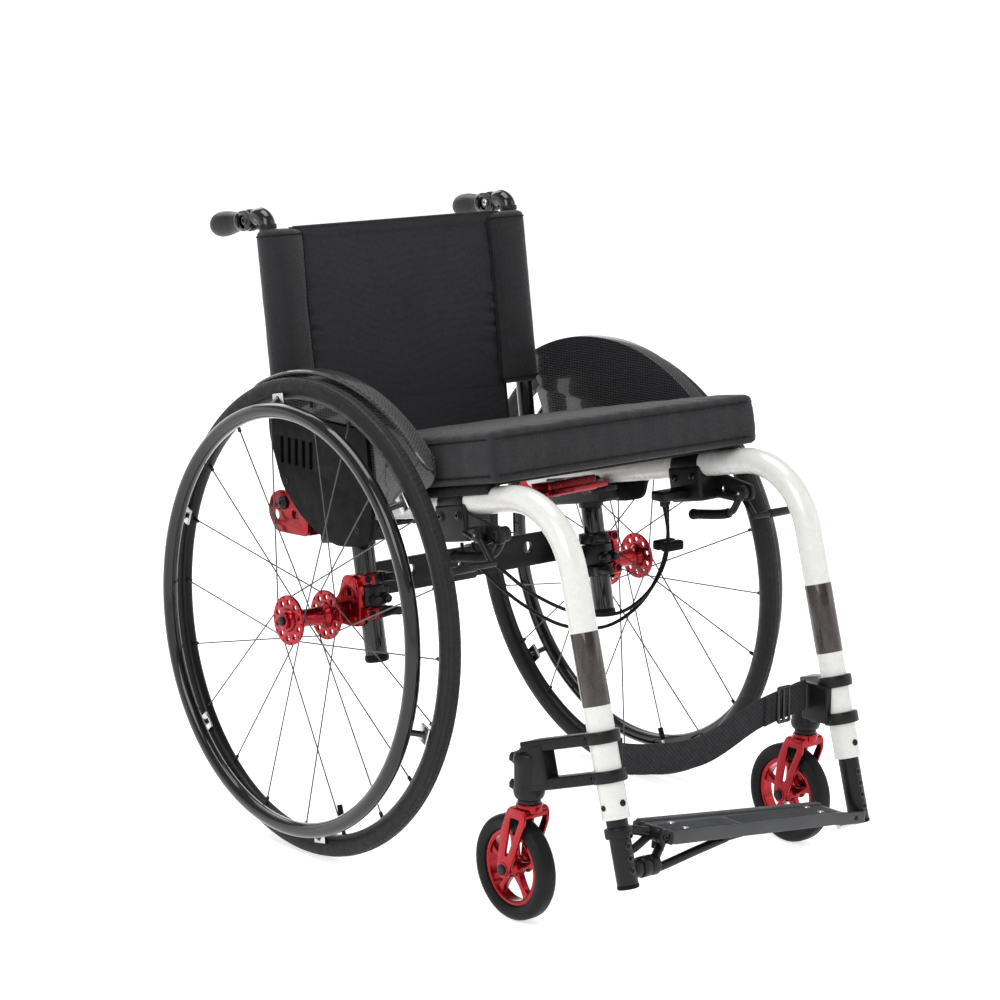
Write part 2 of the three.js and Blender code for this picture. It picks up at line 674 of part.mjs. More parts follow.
// Crown, two windowed legs, the stem above and the wheel's axle.
function castorFork() {
  const x = CASTOR_TRACK / 2;
  const y = CASTOR_STEM_Y;
  const top = FORK_CROWN_TOP;
  const inner = CASTOR_TYRE_HALF + 3;
  const outer = inner + FORK_PLATE;
  const shoulder = CASTOR_RADIUS * 2 + 12;
  const crown = bar([x, y, shoulder - 6], [x, y, top], FORK_CROWN_RADIUS, TUBE_SIDES);
  const bridge = block([x - outer, y - 13, shoulder - 8], [x + outer, y + 15, shoulder + 4]);
  const outline = [
    [y - 13, shoulder + 4], [y - 14, shoulder - 12], [castorAxleY - 10, CASTOR_RADIUS - 4],
    [castorAxleY - 4, CASTOR_RADIUS - 11], [castorAxleY + 6, CASTOR_RADIUS - 10],
    [castorAxleY + 11, CASTOR_RADIUS], [castorAxleY + 4, shoulder - 28], [y + 15, shoulder + 4],
  ];
  const windowOutline = [
    [y - 5, shoulder - 8], [castorAxleY - 8, CASTOR_RADIUS + 18], [castorAxleY - 3, CASTOR_RADIUS + 18],
    [y + 11, shoulder - 8],
  ];
  const legs = [-1, 1].map((side) => {
    const a = side < 0 ? x - outer : x + inner;
    const leg = plate(outline, a, a + FORK_PLATE);
    return leg.subtract(plate(windowOutline, a - 5, a + FORK_PLATE + 5));
  });
  const axle = bar([x - outer - 2, castorAxleY, CASTOR_RADIUS], [x + outer + 2, castorAxleY, CASTOR_RADIUS], 4, PIN_SIDES);
  const stem = bar([x, y, top - 4], [x, y, top + HOUSING_HEIGHT - 4], STEM_RADIUS, PIN_SIDES);
  return join(crown, bridge, ...legs, axle, stem);
}

// The casting that carries the castor: two bands round the leg and a windowed arm.
function castorArm() {
  const bandZ = [193, 236];
  const radius = BAND_RADIUS;
  const ring = (z) => turned([
    [-7, FRAME_TUBE - 3], [7, FRAME_TUBE - 3], [7, radius], [-7, radius],
  ], TUBE_SIDES, chain(legFrame(RAIL_X, z), turnY(-Math.PI / 2)));
  const x = CASTOR_TRACK / 2;
  const low = FORK_CROWN_TOP + 3;
  const housing = bar([x, CASTOR_STEM_Y, low], [x, CASTOR_STEM_Y, low + HOUSING_HEIGHT], HOUSING_RADIUS, TUBE_SIDES);
  const foot = legFrame(RAIL_X, bandZ[0]);
  const reach = (legY(bandZ[0]) - CASTOR_STEM_Y) / Math.cos(rad(LEG_LEAN_DEG));
  const pitch = (bandZ[1] - bandZ[0]) / Math.cos(rad(LEG_LEAN_DEG));
  const side = x - RAIL_X;
  const legClear = clearOf(FRAME_TUBE, GAP, TUBE_SIDES);
  const arm = (lift) => slab([
    [4, 6], [20, 4], [side + 12, -reach - 8], [side - 12, -reach - 12],
  ], lift - 7, lift + 7, foot);
  const wall = slab([
    [side * 0.55, -reach * 0.62], [side * 0.55 + 22, -reach * 0.62],
    [side + 12, -reach - 6], [side - 12, -reach - 6],
  ], 0, pitch, foot);
  const lug = block(
    [RAIL_X - radius - 2, legY(bandZ[0]) + 2, bandZ[0] - 6],
    [RAIL_X - radius + 6, legY(bandZ[0]) + 44, bandZ[0] + 40],
  );
  const leg = solid(
    new THREE.CylinderGeometry(legClear, legClear, 200, TUBE_SIDES),
    chain(foot, turnX(Math.PI / 2)),
  );
  const bore = bar([x, CASTOR_STEM_Y, low - 5], [x, CASTOR_STEM_Y, low + HOUSING_HEIGHT - 6], STEM_RADIUS + RUNNING_GAP, PIN_SIDES);
  const bolts = [12, 44].map((z) => bar(
    [x, CASTOR_STEM_Y + 8, low + z], [x + 6, CASTOR_STEM_Y + 25, low + z], 7, 8,
  ));
  return join(ring(bandZ[0]), ring(bandZ[1]), arm(0), arm(pitch), wall, housing, lug, ...bolts)
    .subtract(leg).subtract(bore);
}

// ------------------------------------------------------------ foot tubes

function footTube(isRight) {
  const foot = legFrame(RAIL_X, FOOT_BOTTOM_Z);
  const length = (LEG_BOTTOM_Z - FOOT_BOTTOM_Z) / Math.cos(rad(LEG_LEAN_DEG)) + FOOT_INSERTED;
  let tube = solid(
    new THREE.CylinderGeometry(FOOT_TUBE, FOOT_TUBE, length, TUBE_SIDES),
    chain(foot, at(0, 0, length / 2), turnX(Math.PI / 2)),
  );
  for (let i = 0; i < 3; i += 1) {
    const hole = solid(
      new THREE.CylinderGeometry(FOOT_HOLE, FOOT_HOLE, 60, 8),
      chain(foot, at(0, 0, 22 + 16 * i)),
    );
    tube = tube.subtract(hole);
  }
  return isRight ? join(tube, hingeBracket()) : join(tube, restPeg());
}

// A triangular bracket on the right foot tube that carries the footplate's hinge.
// It is drawn on the left side, as all pieces are, and mirrored with its tube.
function hingeBracket() {
  const hingeX = -PLATE_HINGE_X;
  const y0 = legY(PLATE_HINGE_Z);
  const upper = bar([RAIL_X - 4, legY(132), 132], [hingeX + 8, y0, PLATE_HINGE_Z + 3], 6, 8);
  const lower = bar([RAIL_X - 4, legY(108), 108], [hingeX + 8, y0, PLATE_HINGE_Z - 3], 5, 8);
  const knuckle = bar([hingeX, y0 - 15, PLATE_HINGE_Z], [hingeX, y0 + 15, PLATE_HINGE_Z], 8.5, PIN_SIDES);
  const collar = turned([
    [-6, 6], [6, 6], [6, FOOT_TUBE + 4], [-6, FOOT_TUBE + 4],
  ], TUBE_SIDES, chain(legFrame(RAIL_X, 131), turnY(-Math.PI / 2)));
  const seat = bar([RAIL_X - 8, legY(88), 88], [RAIL_X - STRUT_SEAT, legY(88), 88], 10, PIN_SIDES);
  const pinHole = bar([hingeX, y0 - 40, PLATE_HINGE_Z], [hingeX, y0 + 40, PLATE_HINGE_Z], 3 + RUNNING_GAP, 8);
  return join(upper, lower, knuckle, collar, seat).subtract(pinHole);
}

// A peg on the left foot tube that the footplate's far end rests on.
function restPeg() {
  const z = plateUnder(RAIL_X - 30) - RUNNING_GAP - 4;
  return bar([RAIL_X - 6, legY(z + 2), z], [RAIL_X - 36, legY(z + 2), z], 4, 12);
}

// ------------------------------------------------------------- footplate

const tilt = rad(PLATE_TILT_DEG);
const plateFrame = () => chain(at(PLATE_HINGE_X, 0, PLATE_HINGE_Z), turnY(tilt));
const plateUnder = (x) => PLATE_HINGE_Z - 10 / Math.cos(tilt) - Math.tan(tilt) * (x - PLATE_HINGE_X);

function footplateBody() {
  const low = -10;
  const high = low + PLATE_THICKNESS;
  const front = PLATE_REAR_Y - PLATE_DEPTH;
  const start = 12;
  const main = slab([
    [start, PLATE_REAR_Y], [start, front + 3], [start + 3, front],
    [PLATE_LENGTH, front], [PLATE_LENGTH, PLATE_REAR_Y],
  ], low, high, plateFrame());
  const lip = slab([
    [PLATE_LENGTH - 20, front + 4], [PLATE_LENGTH - 20, front - PLATE_LIP_DEPTH],
    [PLATE_LENGTH + PLATE_LIP - 4, front - PLATE_LIP_DEPTH], [PLATE_LENGTH + PLATE_LIP, front - 1],
    [PLATE_LENGTH + 6, front - 1],
  ], low, high, plateFrame());
  return join(main, lip);
}

// The hinge's two ears, its pin, and the strut that braces the plate against the foot tube.
function footplateStrut() {
  const y0 = legY(PLATE_HINGE_Z);
  const ears = [-1, 1].map((side) => {
    const a = y0 + side * (15 + RUNNING_GAP + 3);
    const ear = bar([0, a - 3, 0], [0, a + 3, 0], 8.5, PIN_SIDES);
    const tab = block([0, a - 3, -8], [12 - GAP, a + 3, 4]);
    return join(ear, tab);
  });
  const pin = bar([0, y0 - 20, 0], [0, y0 + 20, 0], 3, 8);
  const web = block([9.3, y0 - 21.6, -9.5], [12 - GAP, y0 + 21.6, 4.5]);
  const hinge = join(...ears, pin, web);
  const shaped = solid(geometryOf(hinge), plateFrame());
  const footX = -(RAIL_X - STRUT_SEAT) + GAP;
  const y1 = legY(88);
  const foot = bar([footX, y1, 88], [footX + 12, y1, 88], 9, PIN_SIDES);
  const strut = bar([footX + 8, y1, 89], [-26, y1 + 6, plateUnder(-26) - 5.4], 5, 8);
  const padX = -26;
  const pad = slab([[0, -9], [30, -9], [30, 9], [0, 9]], -5, 0,
    chain(at(padX - 12, y1 + 4, plateUnder(padX - 12) - GAP), turnY(tilt)));
  const riser = block([12 - GAP - 4, y0 - 9, -20], [12 - GAP, y0 + 9, -9]);
  const riserPlaced = solid(geometryOf(riser), plateFrame());
  const spine = bar([-126, y0, 104], [footX + 10, y1, 90], 4.5, 8);
  return join(shaped, foot, strut, pad, riserPlaced, spine);
}

// ------------------------------------------------------ guards and covers

// A flat wall beside the seat that ends in a lip over the tyre.
function sideGuard() {
  const from = Math.acos(GUARD_REAR_Y / GUARD_RADIUS);
  const to = Math.acos(GUARD_FRONT_Y / GUARD_RADIUS);
  const top = arcPoints([0, AXLE_Z], GUARD_RADIUS, from, to, 14);
  const outline = [...top, [GUARD_FRONT_Y - 4, 508], [GUARD_FRONT_Y + 3, 490], [GUARD_FRONT_Y + 20, 480],
    [GUARD_FRONT_Y + 40, railZ(GUARD_FRONT_Y + 40) + 4], [60, railZ(60) + 4], [84, railZ(84) + 16], [GUARD_REAR_Y - 18, AXLE_Z + 225]];
  const wall = plate(outline, GUARD_X, GUARD_X + GUARD_WALL);
  const inner = arcPoints([0, AXLE_Z], GUARD_RADIUS - GUARD_WALL, to, from, 14);
  const lip = plate([...top, ...inner], GUARD_X + 0.5, GUARD_X + GUARD_LIP);
  const feet = [-150, 20].map((y) => block(
    [RAIL_X + FRAME_TUBE - 6, y - 9, railZ(y) - 1], [GUARD_X + 1, y + 9, railZ(y) + 9],
  ));
  const rail = bar([RAIL_X, -260, railZ(-260)], [RAIL_X, 96, railZ(96)], clearOf(slingOuter(), GAP, TUBE_SIDES), TUBE_SIDES);
  const brackets = join(...feet).subtract(rail);
  return join(wall, lip, brackets);
}

const slingOuter = () => clearOf(FRAME_TUBE, GAP, TUBE_SIDES) + SLING_THICKNESS;

// A ribbed cover on the guard's outer face, over the rail's rear end.
function sideCover() {
  const x0 = GUARD_X + GUARD_WALL + GAP;
  const outline = [
    [126, 540], [124, 505], [98, 445], [60, 412], [25, 396], [-15, 385], [-50, 389],
    [-84, 398], [-92, 430], [-80, 540],
  ];
  let cover = plate(outline, x0, x0 + COVER_THICKNESS);
  for (let i = 0; i < 5; i += 1) {
    const y = 92 - 14 * i;
    cover = cover.subtract(block([x0 + 2.5, y - 3, 470], [x0 + 20, y + 3, 522]));
  }
  return cover;
}

// -------------------------------------------------------------- backrest

// The red fitting on the rail's end, a clevis for the cane's foot.
function backHinge() {
  const [y, z] = CANE_FOOT;
  const outline = [
    [RAIL_REAR_Y - 34, railZ(RAIL_REAR_Y - 34) - 31], [y + 20, z - 40], [y + 36, z - 18], [y + 30, z + 6],
    [y + 10, z + 16], [y - 12, z + 15], [RAIL_REAR_Y - 34, railZ(RAIL_REAR_Y - 34) + 8],
  ];
  const inner = CANE_X - CANE_TUBE - RUNNING_GAP - 5;
  const outer = CANE_X + CANE_TUBE + RUNNING_GAP;
  const cheeks = [plate(outline, inner - 3, inner + 5), plate(outline, outer, outer + 5)];
  const floor = block([inner, y - 20, z - 38], [outer + 2, y + 18, z - 26]);
  const pin = bar([inner - 4, y, z], [outer + 7, y, z], 5, PIN_SIDES);
  const rail = bar([RAIL_X, -20, railZ(-20)], [RAIL_X, RAIL_REAR_Y + GAP, railZ(RAIL_REAR_Y + GAP)],
    clearOf(FRAME_TUBE, GAP, TUBE_SIDES), TUBE_SIDES);
  const saddle = block([inner, RAIL_REAR_Y - 34, z - 36], [outer + 2, y - 14, z - 30]);
  return join(...cheeks, floor, saddle, pin).subtract(rail);
}

function backCane() {
  const place = caneFrame(CANE_X);
  const bore = 5 + RUNNING_GAP;
  const knuckle = turned([
    [-CANE_TUBE, bore], [CANE_TUBE, bore], [CANE_TUBE, 12], [-CANE_TUBE, 12],
  ], TUBE_SIDES, place);
  const tube = solid(
    new THREE.CylinderGeometry(CANE_TUBE, CANE_TUBE, CANE_LENGTH - 9, TUBE_SIDES),
    chain(place, at(0, 0, 9 + (CANE_LENGTH - 9) / 2), turnX(Math.PI / 2)),
  );
  const pinSpace = turned([[-20, 0], [-20, bore], [20, bore], [20, 0]], PIN_SIDES, place);
  const topY = CANE_FOOT[0] + Math.sin(rad(RECLINE_DEG)) * CANE_LENGTH;
  const topZ = CANE_FOOT[1] + Math.cos(rad(RECLINE_DEG)) * CANE_LENGTH;
  const [py, pz] = HANDLE_PIVOT;
  const neck = pipe(CANE_TUBE, smooth([
    [CANE_X, topY - 1, topZ - 8], [CANE_X, topY + 3, topZ + 3], [CANE_X, topY + 14, topZ + 9],
    [CANE_X, py - 14, pz + 5],
  ], 6), TUBE_SIDES);
  const cheek = bar([CANE_X - 4, py, pz], [CANE_X + 4, py, pz], 14, TUBE_SIDES);
  const arm = block([CANE_X - 4, py - 18, pz - 6], [CANE_X + 4, py, pz + 10]);
  const hole = bar([CANE_X - 20, py, pz], [CANE_X + 20, py, pz], 4 + RUNNING_GAP, PIN_SIDES);
  return join(knuckle, tube.subtract(pinSpace), neck, cheek, arm).subtract(hole);
}

// The outer shape of the roll round the left cane.
function rollShape(extra) {
  const outline = [];
  for (let i = 0; i < 16; i += 1) {
    const angle = (2 * Math.PI * i) / 16;
    outline.push([(BOLSTER_HALF[0] + extra) * Math.cos(angle), (BOLSTER_HALF[1] + extra) * Math.sin(angle)]);
  }
  return slab(outline, BOLSTER_FROM - extra, BOLSTER_TO + extra, caneFrame(CANE_X));
}

// A soft roll round the cane, open along its middle for the tube.
function bolster() {
  const caneClear = clearOf(CANE_TUBE, GAP, TUBE_SIDES);
  const tube = solid(
    new THREE.CylinderGeometry(caneClear, caneClear, 2 * CANE_LENGTH, TUBE_SIDES),
    chain(caneFrame(CANE_X), turnX(Math.PI / 2)),
  );
  return rollShape(0).subtract(tube);
}

function backSling() {
  const half = CANE_X - BOLSTER_HALF[0] + 5;
  const height = BOLSTER_TO - BOLSTER_FROM - 2;
  const place = chain(caneFrame(0), at(0, -7, (BOLSTER_FROM + BOLSTER_TO) / 2));
  const sheet = solid(new RoundedBoxGeometry(2 * half, BACK_SLING, height, 1, 3), place);
  const roll = rollShape(GAP);
  return sheet.subtract(roll).subtract(roll.mirror([1, 0, 0]));
}

// The sheet behind the cushion. It hangs behind the back sling's lower edge and stays with the seat.
function backSkirt() {
  const y = -7 + BACK_SLING / 2 + GAP + SKIRT[1] / 2;
  return box(SKIRT, chain(caneFrame(0), at(0, y, SKIRT_FROM + SKIRT[2] / 2)));
}

// The grip, the fork that turns on the cane's cheek, and its pin.
function pushHandle() {
  const [y, z] = HANDLE_PIVOT;
  const x = CANE_X;
  const ears = [-1, 1].map((side) => {
    const a = x + side * (4 + RUNNING_GAP + 2.5);
    const ear = bar([a - 2.5, y, z], [a + 2.5, y, z], 13, TUBE_SIDES);
    return join(ear, block([a - 2.5, y, z - 12], [a + 2.5, y + 22, z + 8]));
  });
  const pin = bar([x - 9, y, z], [x + 9, y, z], 4, PIN_SIDES);
  const bridge = bar([x, y + 15, z - 1.8], [x, y + 26, z - 3], 14, TUBE_SIDES);
  const end = [x + 4, y + HANDLE_LENGTH, z - 14];
  const grip = bar([x, y + 22, z - 2.6], end, HANDLE_GRIP, TUBE_SIDES);
  const nose = bar(end, [x + 4.3, y + HANDLE_LENGTH + 5, z - 14.8], HANDLE_GRIP, TUBE_SIDES, HANDLE_GRIP - 4);
  return join(...ears, pin, bridge, grip, nose);
}

// ------------------------------------------------------------------ seat

// Fabric between the rails, with a hem over the upper half of each.
function seatSling() {
  const front = CUSHION_FRONT_Y + 12;
  const rear = RAIL_REAR_Y - 40;
  const length = (rear - front) / Math.cos(rad(RAIL_SLOPE_DEG));
  const place = seatFrame(0, (front + rear) / 2);
  const top = slingOuter();
  const tubeClear = clearOf(FRAME_TUBE, GAP, TUBE_SIDES);
  const sheet = box([2 * RAIL_X, length, SLING_THICKNESS], chain(place, at(0, 0, top - SLING_THICKNESS / 2)));
  const hems = [-1, 1].map((side) => {
    const outer = solid(new THREE.CylinderGeometry(top, top, length, TUBE_SIDES), chain(place, at(side * RAIL_X, 0, 0)));
    const inner = solid(
      new THREE.CylinderGeometry(tubeClear, tubeClear, length + 20, TUBE_SIDES),
      chain(place, at(side * RAIL_X, 0, 0)),
    );
    const under = box([80, length + 20, 60], chain(place, at(side * RAIL_X, 0, -30 + 0.5)));
    return outer.subtract(inner).subtract(under);
  });
  return join(sheet, ...hems);
}

function seatCushion() {
  const place = seatFrame(0, CUSHION_FRONT_Y + (CUSHION[1] / 2) * Math.cos(rad(RAIL_SLOPE_DEG)));
  const lift = slingOuter() + GAP + CUSHION[2] / 2;
  const geometry = new RoundedBoxGeometry(CUSHION[0], CUSHION[1], CUSHION[2], 2, CUSHION_RADIUS);
  const [width, length] = CUSHION_NOTCH;
  const notches = [-1, 1].map((side) => box([2 * width, 2 * length, 2 * CUSHION[2]], chain(
    place, at((side * CUSHION[0]) / 2, CUSHION[1] / 2, lift),
  )));
  return solid(geometry, chain(place, at(0, 0, lift))).subtract(notches[0]).subtract(notches[1]);
}

// ----------------------------------------------------------- wheel locks

// The block that cradles the rail, with an arm forward to the two pivots.
function lockMount(isRight) {
  const y = LOCK_CLAMP_Y;
  const place = seatFrame(RAIL_X, y);
  const cradle = box([38, LOCK_CLAMP_LENGTH, 46], chain(place, at(0, 0, -23)));
  const rail = bar([RAIL_X, y - 60, railZ(y - 60)], [RAIL_X, y + 60, railZ(y + 60)], clearOf(FRAME_TUBE, GAP, TUBE_SIDES), TUBE_SIDES);
  const [py, pz] = LOCK_PIVOT;
  const arm = plate([
    [y - 24, railZ(y) - 30], [y - 24, railZ(y) - 4], [py - 10, pz + 9], [py - 11, pz - 9], [py + 4, pz - 11],
  ], LOCK_X - 9, LOCK_X - 3);
  const bridge = block([RAIL_X + 8, y - 29, railZ(y) - 40], [LOCK_X - 3, y - 5, railZ(y) - 16]);
  const leverPin = bar([LOCK_X - 22, py, pz], [LOCK_X - 5, py, pz], 3, 8);
  const shoePin = bar([LOCK_X - 6, SHOE_PIVOT[0], SHOE_PIVOT[1]], [LOCK_X + 9, SHOE_PIVOT[0], SHOE_PIVOT[1]], 3, 8);
  const parts = [cradle, arm, bridge, leverPin, shoePin];
  if (!isRight) parts.push(cableAnchor());
  return join(...parts).subtract(rail);
}

// A finger inboard of the left lock's block, where both cables end.
function cableAnchor() {
  const z = railZ(LOCK_CLAMP_Y) - 34;
  return block([126, LOCK_CLAMP_Y - 12, z - 6], [RAIL_X - 17, LOCK_CLAMP_Y + 12, z + 6]);
}

function lockLever() {
  const [y, z] = LOCK_PIVOT;
  const x = LOCK_X - 15;
  const disc = bar([x - 5, y, z], [x + 5, y, z], 9, PIN_SIDES);
  const hole = bar([x - 20, y, z], [x + 20, y, z], 3 + RUNNING_GAP, 8);
  const stations = smooth([
    [x, y - 6, z - 4], [x + 2, y - 12, z - 22], [x + 3, y, z - 38], [x + 3, y + 30, z - 41], [x + 2, y + 96, z - 43],
  ], 9);
  const rod = pipe(LEVER_TUBE, stations, 8);
  return join(disc, rod).subtract(hole);
}

function lockShoe() {
  const [y, z] = SHOE_PIVOT;
  const [ry, rz] = SHOE_ROD;
  const x = LOCK_X + 3;
  const disc = bar([x - 5, y, z], [x + 5, y, z], 8, PIN_SIDES);
  const hole = bar([x - 20, y, z], [x + 20, y, z], 3 + RUNNING_GAP, 8);
  const link = bar([x + 1, y - 3, z - 4], [x + 1, ry, rz], 4.2, 8);
  const rod = bar([x - 3, ry, rz], [SHOE_ROD_END_X, ry, rz], SHOE_ROD_RADIUS, PIN_SIDES);
  return join(disc, link, rod).subtract(hole);
}

// ------------------------------------------------------- strap and cables

// A fabric band behind the calves, hanging a little lower at the right.
function calfStrap() {
  const half = RAIL_X - BAND_RADIUS - 2 - 3;
  const y = legY(193) + 36;
  const outline = [
    [-STRAP_THICKNESS / 2, -STRAP_HEIGHT / 2], [STRAP_THICKNESS / 2, -STRAP_HEIGHT / 2],
    [STRAP_THICKNESS / 2, STRAP_HEIGHT / 2], [-STRAP_THICKNESS / 2, STRAP_HEIGHT / 2],
  ];
  const stations = smooth([
    [-half, y, 200], [-half + 5, y, 200], [-90, y + 6, 184], [0, y + 8, 178], [90, y + 6, 206],
    [half - 5, y, 219], [half, y, 219],
  ], 18);
  const shape = new THREE.Shape(outline.map(([u, v]) => new THREE.Vector2(v, u)));
  const route = new Route(stations);
  route.computeFrenetFrames = (steps) => uprightFrames(route, steps);
  const options = { steps: stations.length - 1, extrudePath: route, bevelEnabled: false };
  return solid(new THREE.ExtrudeGeometry(shape, options));
}

// Frames that keep a band's width upright along the route.
function uprightFrames(route, steps) {
  const tangents = [];
  const normals = [];
  const binormals = [];
  for (let i = 0; i <= steps; i += 1) {
    const tangent = route.getTangentAt(i / steps);
    const side = new THREE.Vector3().crossVectors(tangent, new THREE.Vector3(0, 0, 1)).normalize();
    const up = new THREE.Vector3().crossVectors(side, tangent).normalize();
    tangents.push(tangent);
    normals.push(up);
    binormals.push(new THREE.Vector3().crossVectors(tangent, up));
  }
  return { tangents, normals, binormals };
}

const ANCHOR_Z = railZ(LOCK_CLAMP_Y) - 34;

// Both cables leave the right lock, hang in a loop and end at the left lock's anchor.
const CABLE_FRONT = [
  [-176, -224, railZ(-224) - 50], [-175, -225, railZ(-224) - 58], [-150, -236, 388], [-95, -238, 345], [-20, -236, 309],
  [48, -236, 300], [100, -230, 318], [132, -224, 350], [140, -221, 380], [138, -219, 405], [134, -217, ANCHOR_Z - 6.6],
];
const CABLE_REAR = [
  [-177, -204, railZ(-204) - 50], [-176.5, -204.5, railZ(-204) - 58], [-155, -214, 380], [-100, -218, 332], [-25, -216, 290],
  [48, -214, 279], [104, -212, 300], [136, -211, 336], [148, -211, 372], [148, -211, 402], [147, -211, ANCHOR_Z - 6.6],
];

function cable(points) {
  return pipe(CABLE_RADIUS, smooth(points, 22), 8);
}

// The clip that holds the two cables together.
function cableClip() {
  const low = [128, -232, 362];
  const high = [160, -202, 375];
  const holes = [CABLE_FRONT, CABLE_REAR].map((points) => pipe(CABLE_RADIUS + GAP, smooth(points, 22), 8));
  return block(low, high).subtract(holes[0]).subtract(holes[1]);
}

// ---------------------------------------------------------- the whole chair

const chair = new THREE.Group();

const left = new THREE.Group();
const right = new THREE.Group();
right.scale.set(-1, 1, 1);
chair.add(left, right);

function addPiece(group, name, body, look) {
  const mesh = new THREE.Mesh(geometryOf(body), new THREE.MeshStandardMaterial(COLOURS[look]));
  mesh.name = name;
  group.add(mesh);
}

// The same piece on both sides. make gets true for the right one.
function addPair(name, make, look) {
  addPiece(right, `${name}_right`, make(true), look);
  addPiece(left, `${name}_left`, make(false), look);
}

addPair('frame_tube', frameTube, 'white');
addPair('leg_inset', legInset, 'inset');
addPair('rear_post', rearPost, 'black');
addPair('rear_bar', rearBar, 'black');
addPair('axle_clamp', axleClamp, 'red');
addPair('side_guard', sideGuard, 'carbon');
addPair('side_cover', sideCover, 'black');
addPair('castor_arm', castorArm, 'black');
addPair('lock_mount', lockMount, 'black');
addPair('back_hinge', backHinge, 'red');
addPair('foot_tube', footTube, 'black');
addPair('castor_fork', castorFork, 'red');
addPair('castor_rim', castorRim, 'red');
addPair('castor_tyre', castorTyre, 'rubber');
addPair('wheel_hub', wheelHub, 'red');
addPair('wheel_spokes', wheelSpokes, 'steel');
addPair('wheel_rim', wheelRim, 'black');
addPair('wheel_tyre', wheelTyre, 'rubber');
addPair('handrim', handrim, 'black');
addPair('back_cane', backCane, 'black');
addPair('back_bolster', bolster, 'fabric');
addPair('push_handle', pushHandle, 'rubber');
addPair('lock_lever', lockLever, 'black');
addPair('lock_shoe', lockShoe, 'black');
addPair('fold_link', foldLink, 'red');
addPiece(chair, 'seat_sling', seatSling(), 'fabric');
addPiece(chair, 'seat_cushion', seatCushion(), 'fabric');
addPiece(chair, 'back_sling', backSling(), 'fabric');
addPiece(chair, 'back_skirt', backSkirt(), 'fabric');
addPiece(chair, 'calf_strap', calfStrap(), 'fabric');
addPiece(chair, 'brake_cable_front', cable(CABLE_FRONT), 'rubber');
addPiece(chair, 'brake_cable_rear', cable(CABLE_REAR), 'rubber');
addPiece(chair, 'cable_clip', cableClip(), 'black');
addPiece(chair, 'footplate', footplateBody(), 'grey');
addPiece(chair, 'footplate_strut', footplateStrut(), 'black');

const extent = new THREE.Box3().setFromObject(chair);
chair.position.set(0, -(extent.min.y + extent.max.y) / 2, 0);

export default chair;
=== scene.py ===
"""Folding manual wheelchair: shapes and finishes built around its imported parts.

Working sizes are in millimetres, with the origin on the floor under the rear axles,
+Z up, the chair facing -Y and the sitter's left at +X. Each piece is placed in metres
in the chair's own frame at the end, and rides on the part that carries it.
"""

import math

import bpy
import numpy as np
from mathutils import Matrix, Vector
from mathutils.bvhtree import BVHTree


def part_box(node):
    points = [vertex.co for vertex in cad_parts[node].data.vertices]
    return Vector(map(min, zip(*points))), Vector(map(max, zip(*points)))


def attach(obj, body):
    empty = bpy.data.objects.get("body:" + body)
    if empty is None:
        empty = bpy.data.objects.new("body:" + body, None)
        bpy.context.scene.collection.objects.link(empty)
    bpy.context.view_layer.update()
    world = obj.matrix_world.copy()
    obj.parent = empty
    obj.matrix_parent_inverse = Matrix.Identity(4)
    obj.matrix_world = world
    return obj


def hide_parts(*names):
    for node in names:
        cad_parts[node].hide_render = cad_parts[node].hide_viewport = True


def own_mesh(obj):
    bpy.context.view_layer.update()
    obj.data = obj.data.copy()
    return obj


bl_info = {
    "name": "Folding Wheelchair",
    "version": (1, 0, 0),
    "blender": (4, 5, 0),
    "location": "View3D > Sidebar > Wheelchair",
    "description": "Builds a folding manual wheelchair with procedural finishes",
    "category": "Add Mesh",
}

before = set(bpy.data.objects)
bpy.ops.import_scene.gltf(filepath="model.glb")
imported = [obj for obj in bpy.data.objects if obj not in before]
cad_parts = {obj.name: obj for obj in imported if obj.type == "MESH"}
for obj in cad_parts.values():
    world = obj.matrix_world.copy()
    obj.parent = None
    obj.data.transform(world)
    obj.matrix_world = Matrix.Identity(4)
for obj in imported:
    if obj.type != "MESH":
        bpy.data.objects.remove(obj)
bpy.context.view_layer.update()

# ------------------------------------------------------------------ sizes

HUB_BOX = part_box("wheel_hub_left")
AXLE_Y = (HUB_BOX[0].y + HUB_BOX[1].y) / 2
TO_ROW = Matrix.Translation((0, AXLE_Y, 0)) @ Matrix.Scale(0.001, 4)

CAMBER = math.radians(2)
WHEEL_R, TYRE_R = 297.0, 12.5
WHEEL_X = 258.6
AXLE_Z = (WHEEL_R - TYRE_R) * math.cos(CAMBER) + TYRE_R
RAIL_X, TUBE_R = 187.0, 16.0
SLOPE, LEAN, RECLINE = math.radians(11), math.radians(15.45), math.radians(8)
BEND_Y, BEND_Z, BEND_R = -303, 483, 95  # the rail's line passes this point before the bend
LEG_Y, LEG_Z = -436.9, 351.2  # the leg's line passes this point below the bend
LEG_END = 146.3
POST_X, POST_R = 187.5, 14.0
POST_Y, POST_END = -46, 245
CASTOR_X, STEM_Y, CASTOR_Y, CASTOR_R = 224.0, -385.0, -360.0, 63.0
STEM_Z = 152
ARM_HEIGHTS = (193, 236)  # the castor arm's two bands on the leg
HINGE_Y, HINGE_Z = 114, 418
CANE_X, CANE_R, CANE_LENGTH = 196.0, 11.0, 352
GRIP_Y, GRIP_Z = 200, 768
LOCK_X, LOCK_Y, LOCK_Z = 206.0, -300, 442
SHOE_Y, SHOE_Z = -276, 440
SHOE_ROD_Y, SHOE_ROD_Z = -303, 410
MOUNT_Y = -215
LINK_X, LINK_Y = 160, -62  # the folding links' outer pins
LINK_SKEW = 30  # how far the links' middle pin lies from the line between them
FLIP_X, FLIP_Z, PLATE_TILT = 138, 121, math.radians(6.8)
STRAP_WIDTH = 36.5
BACK_HALF = 170  # half the back panel's width
CLOTH_FRAMES = 20


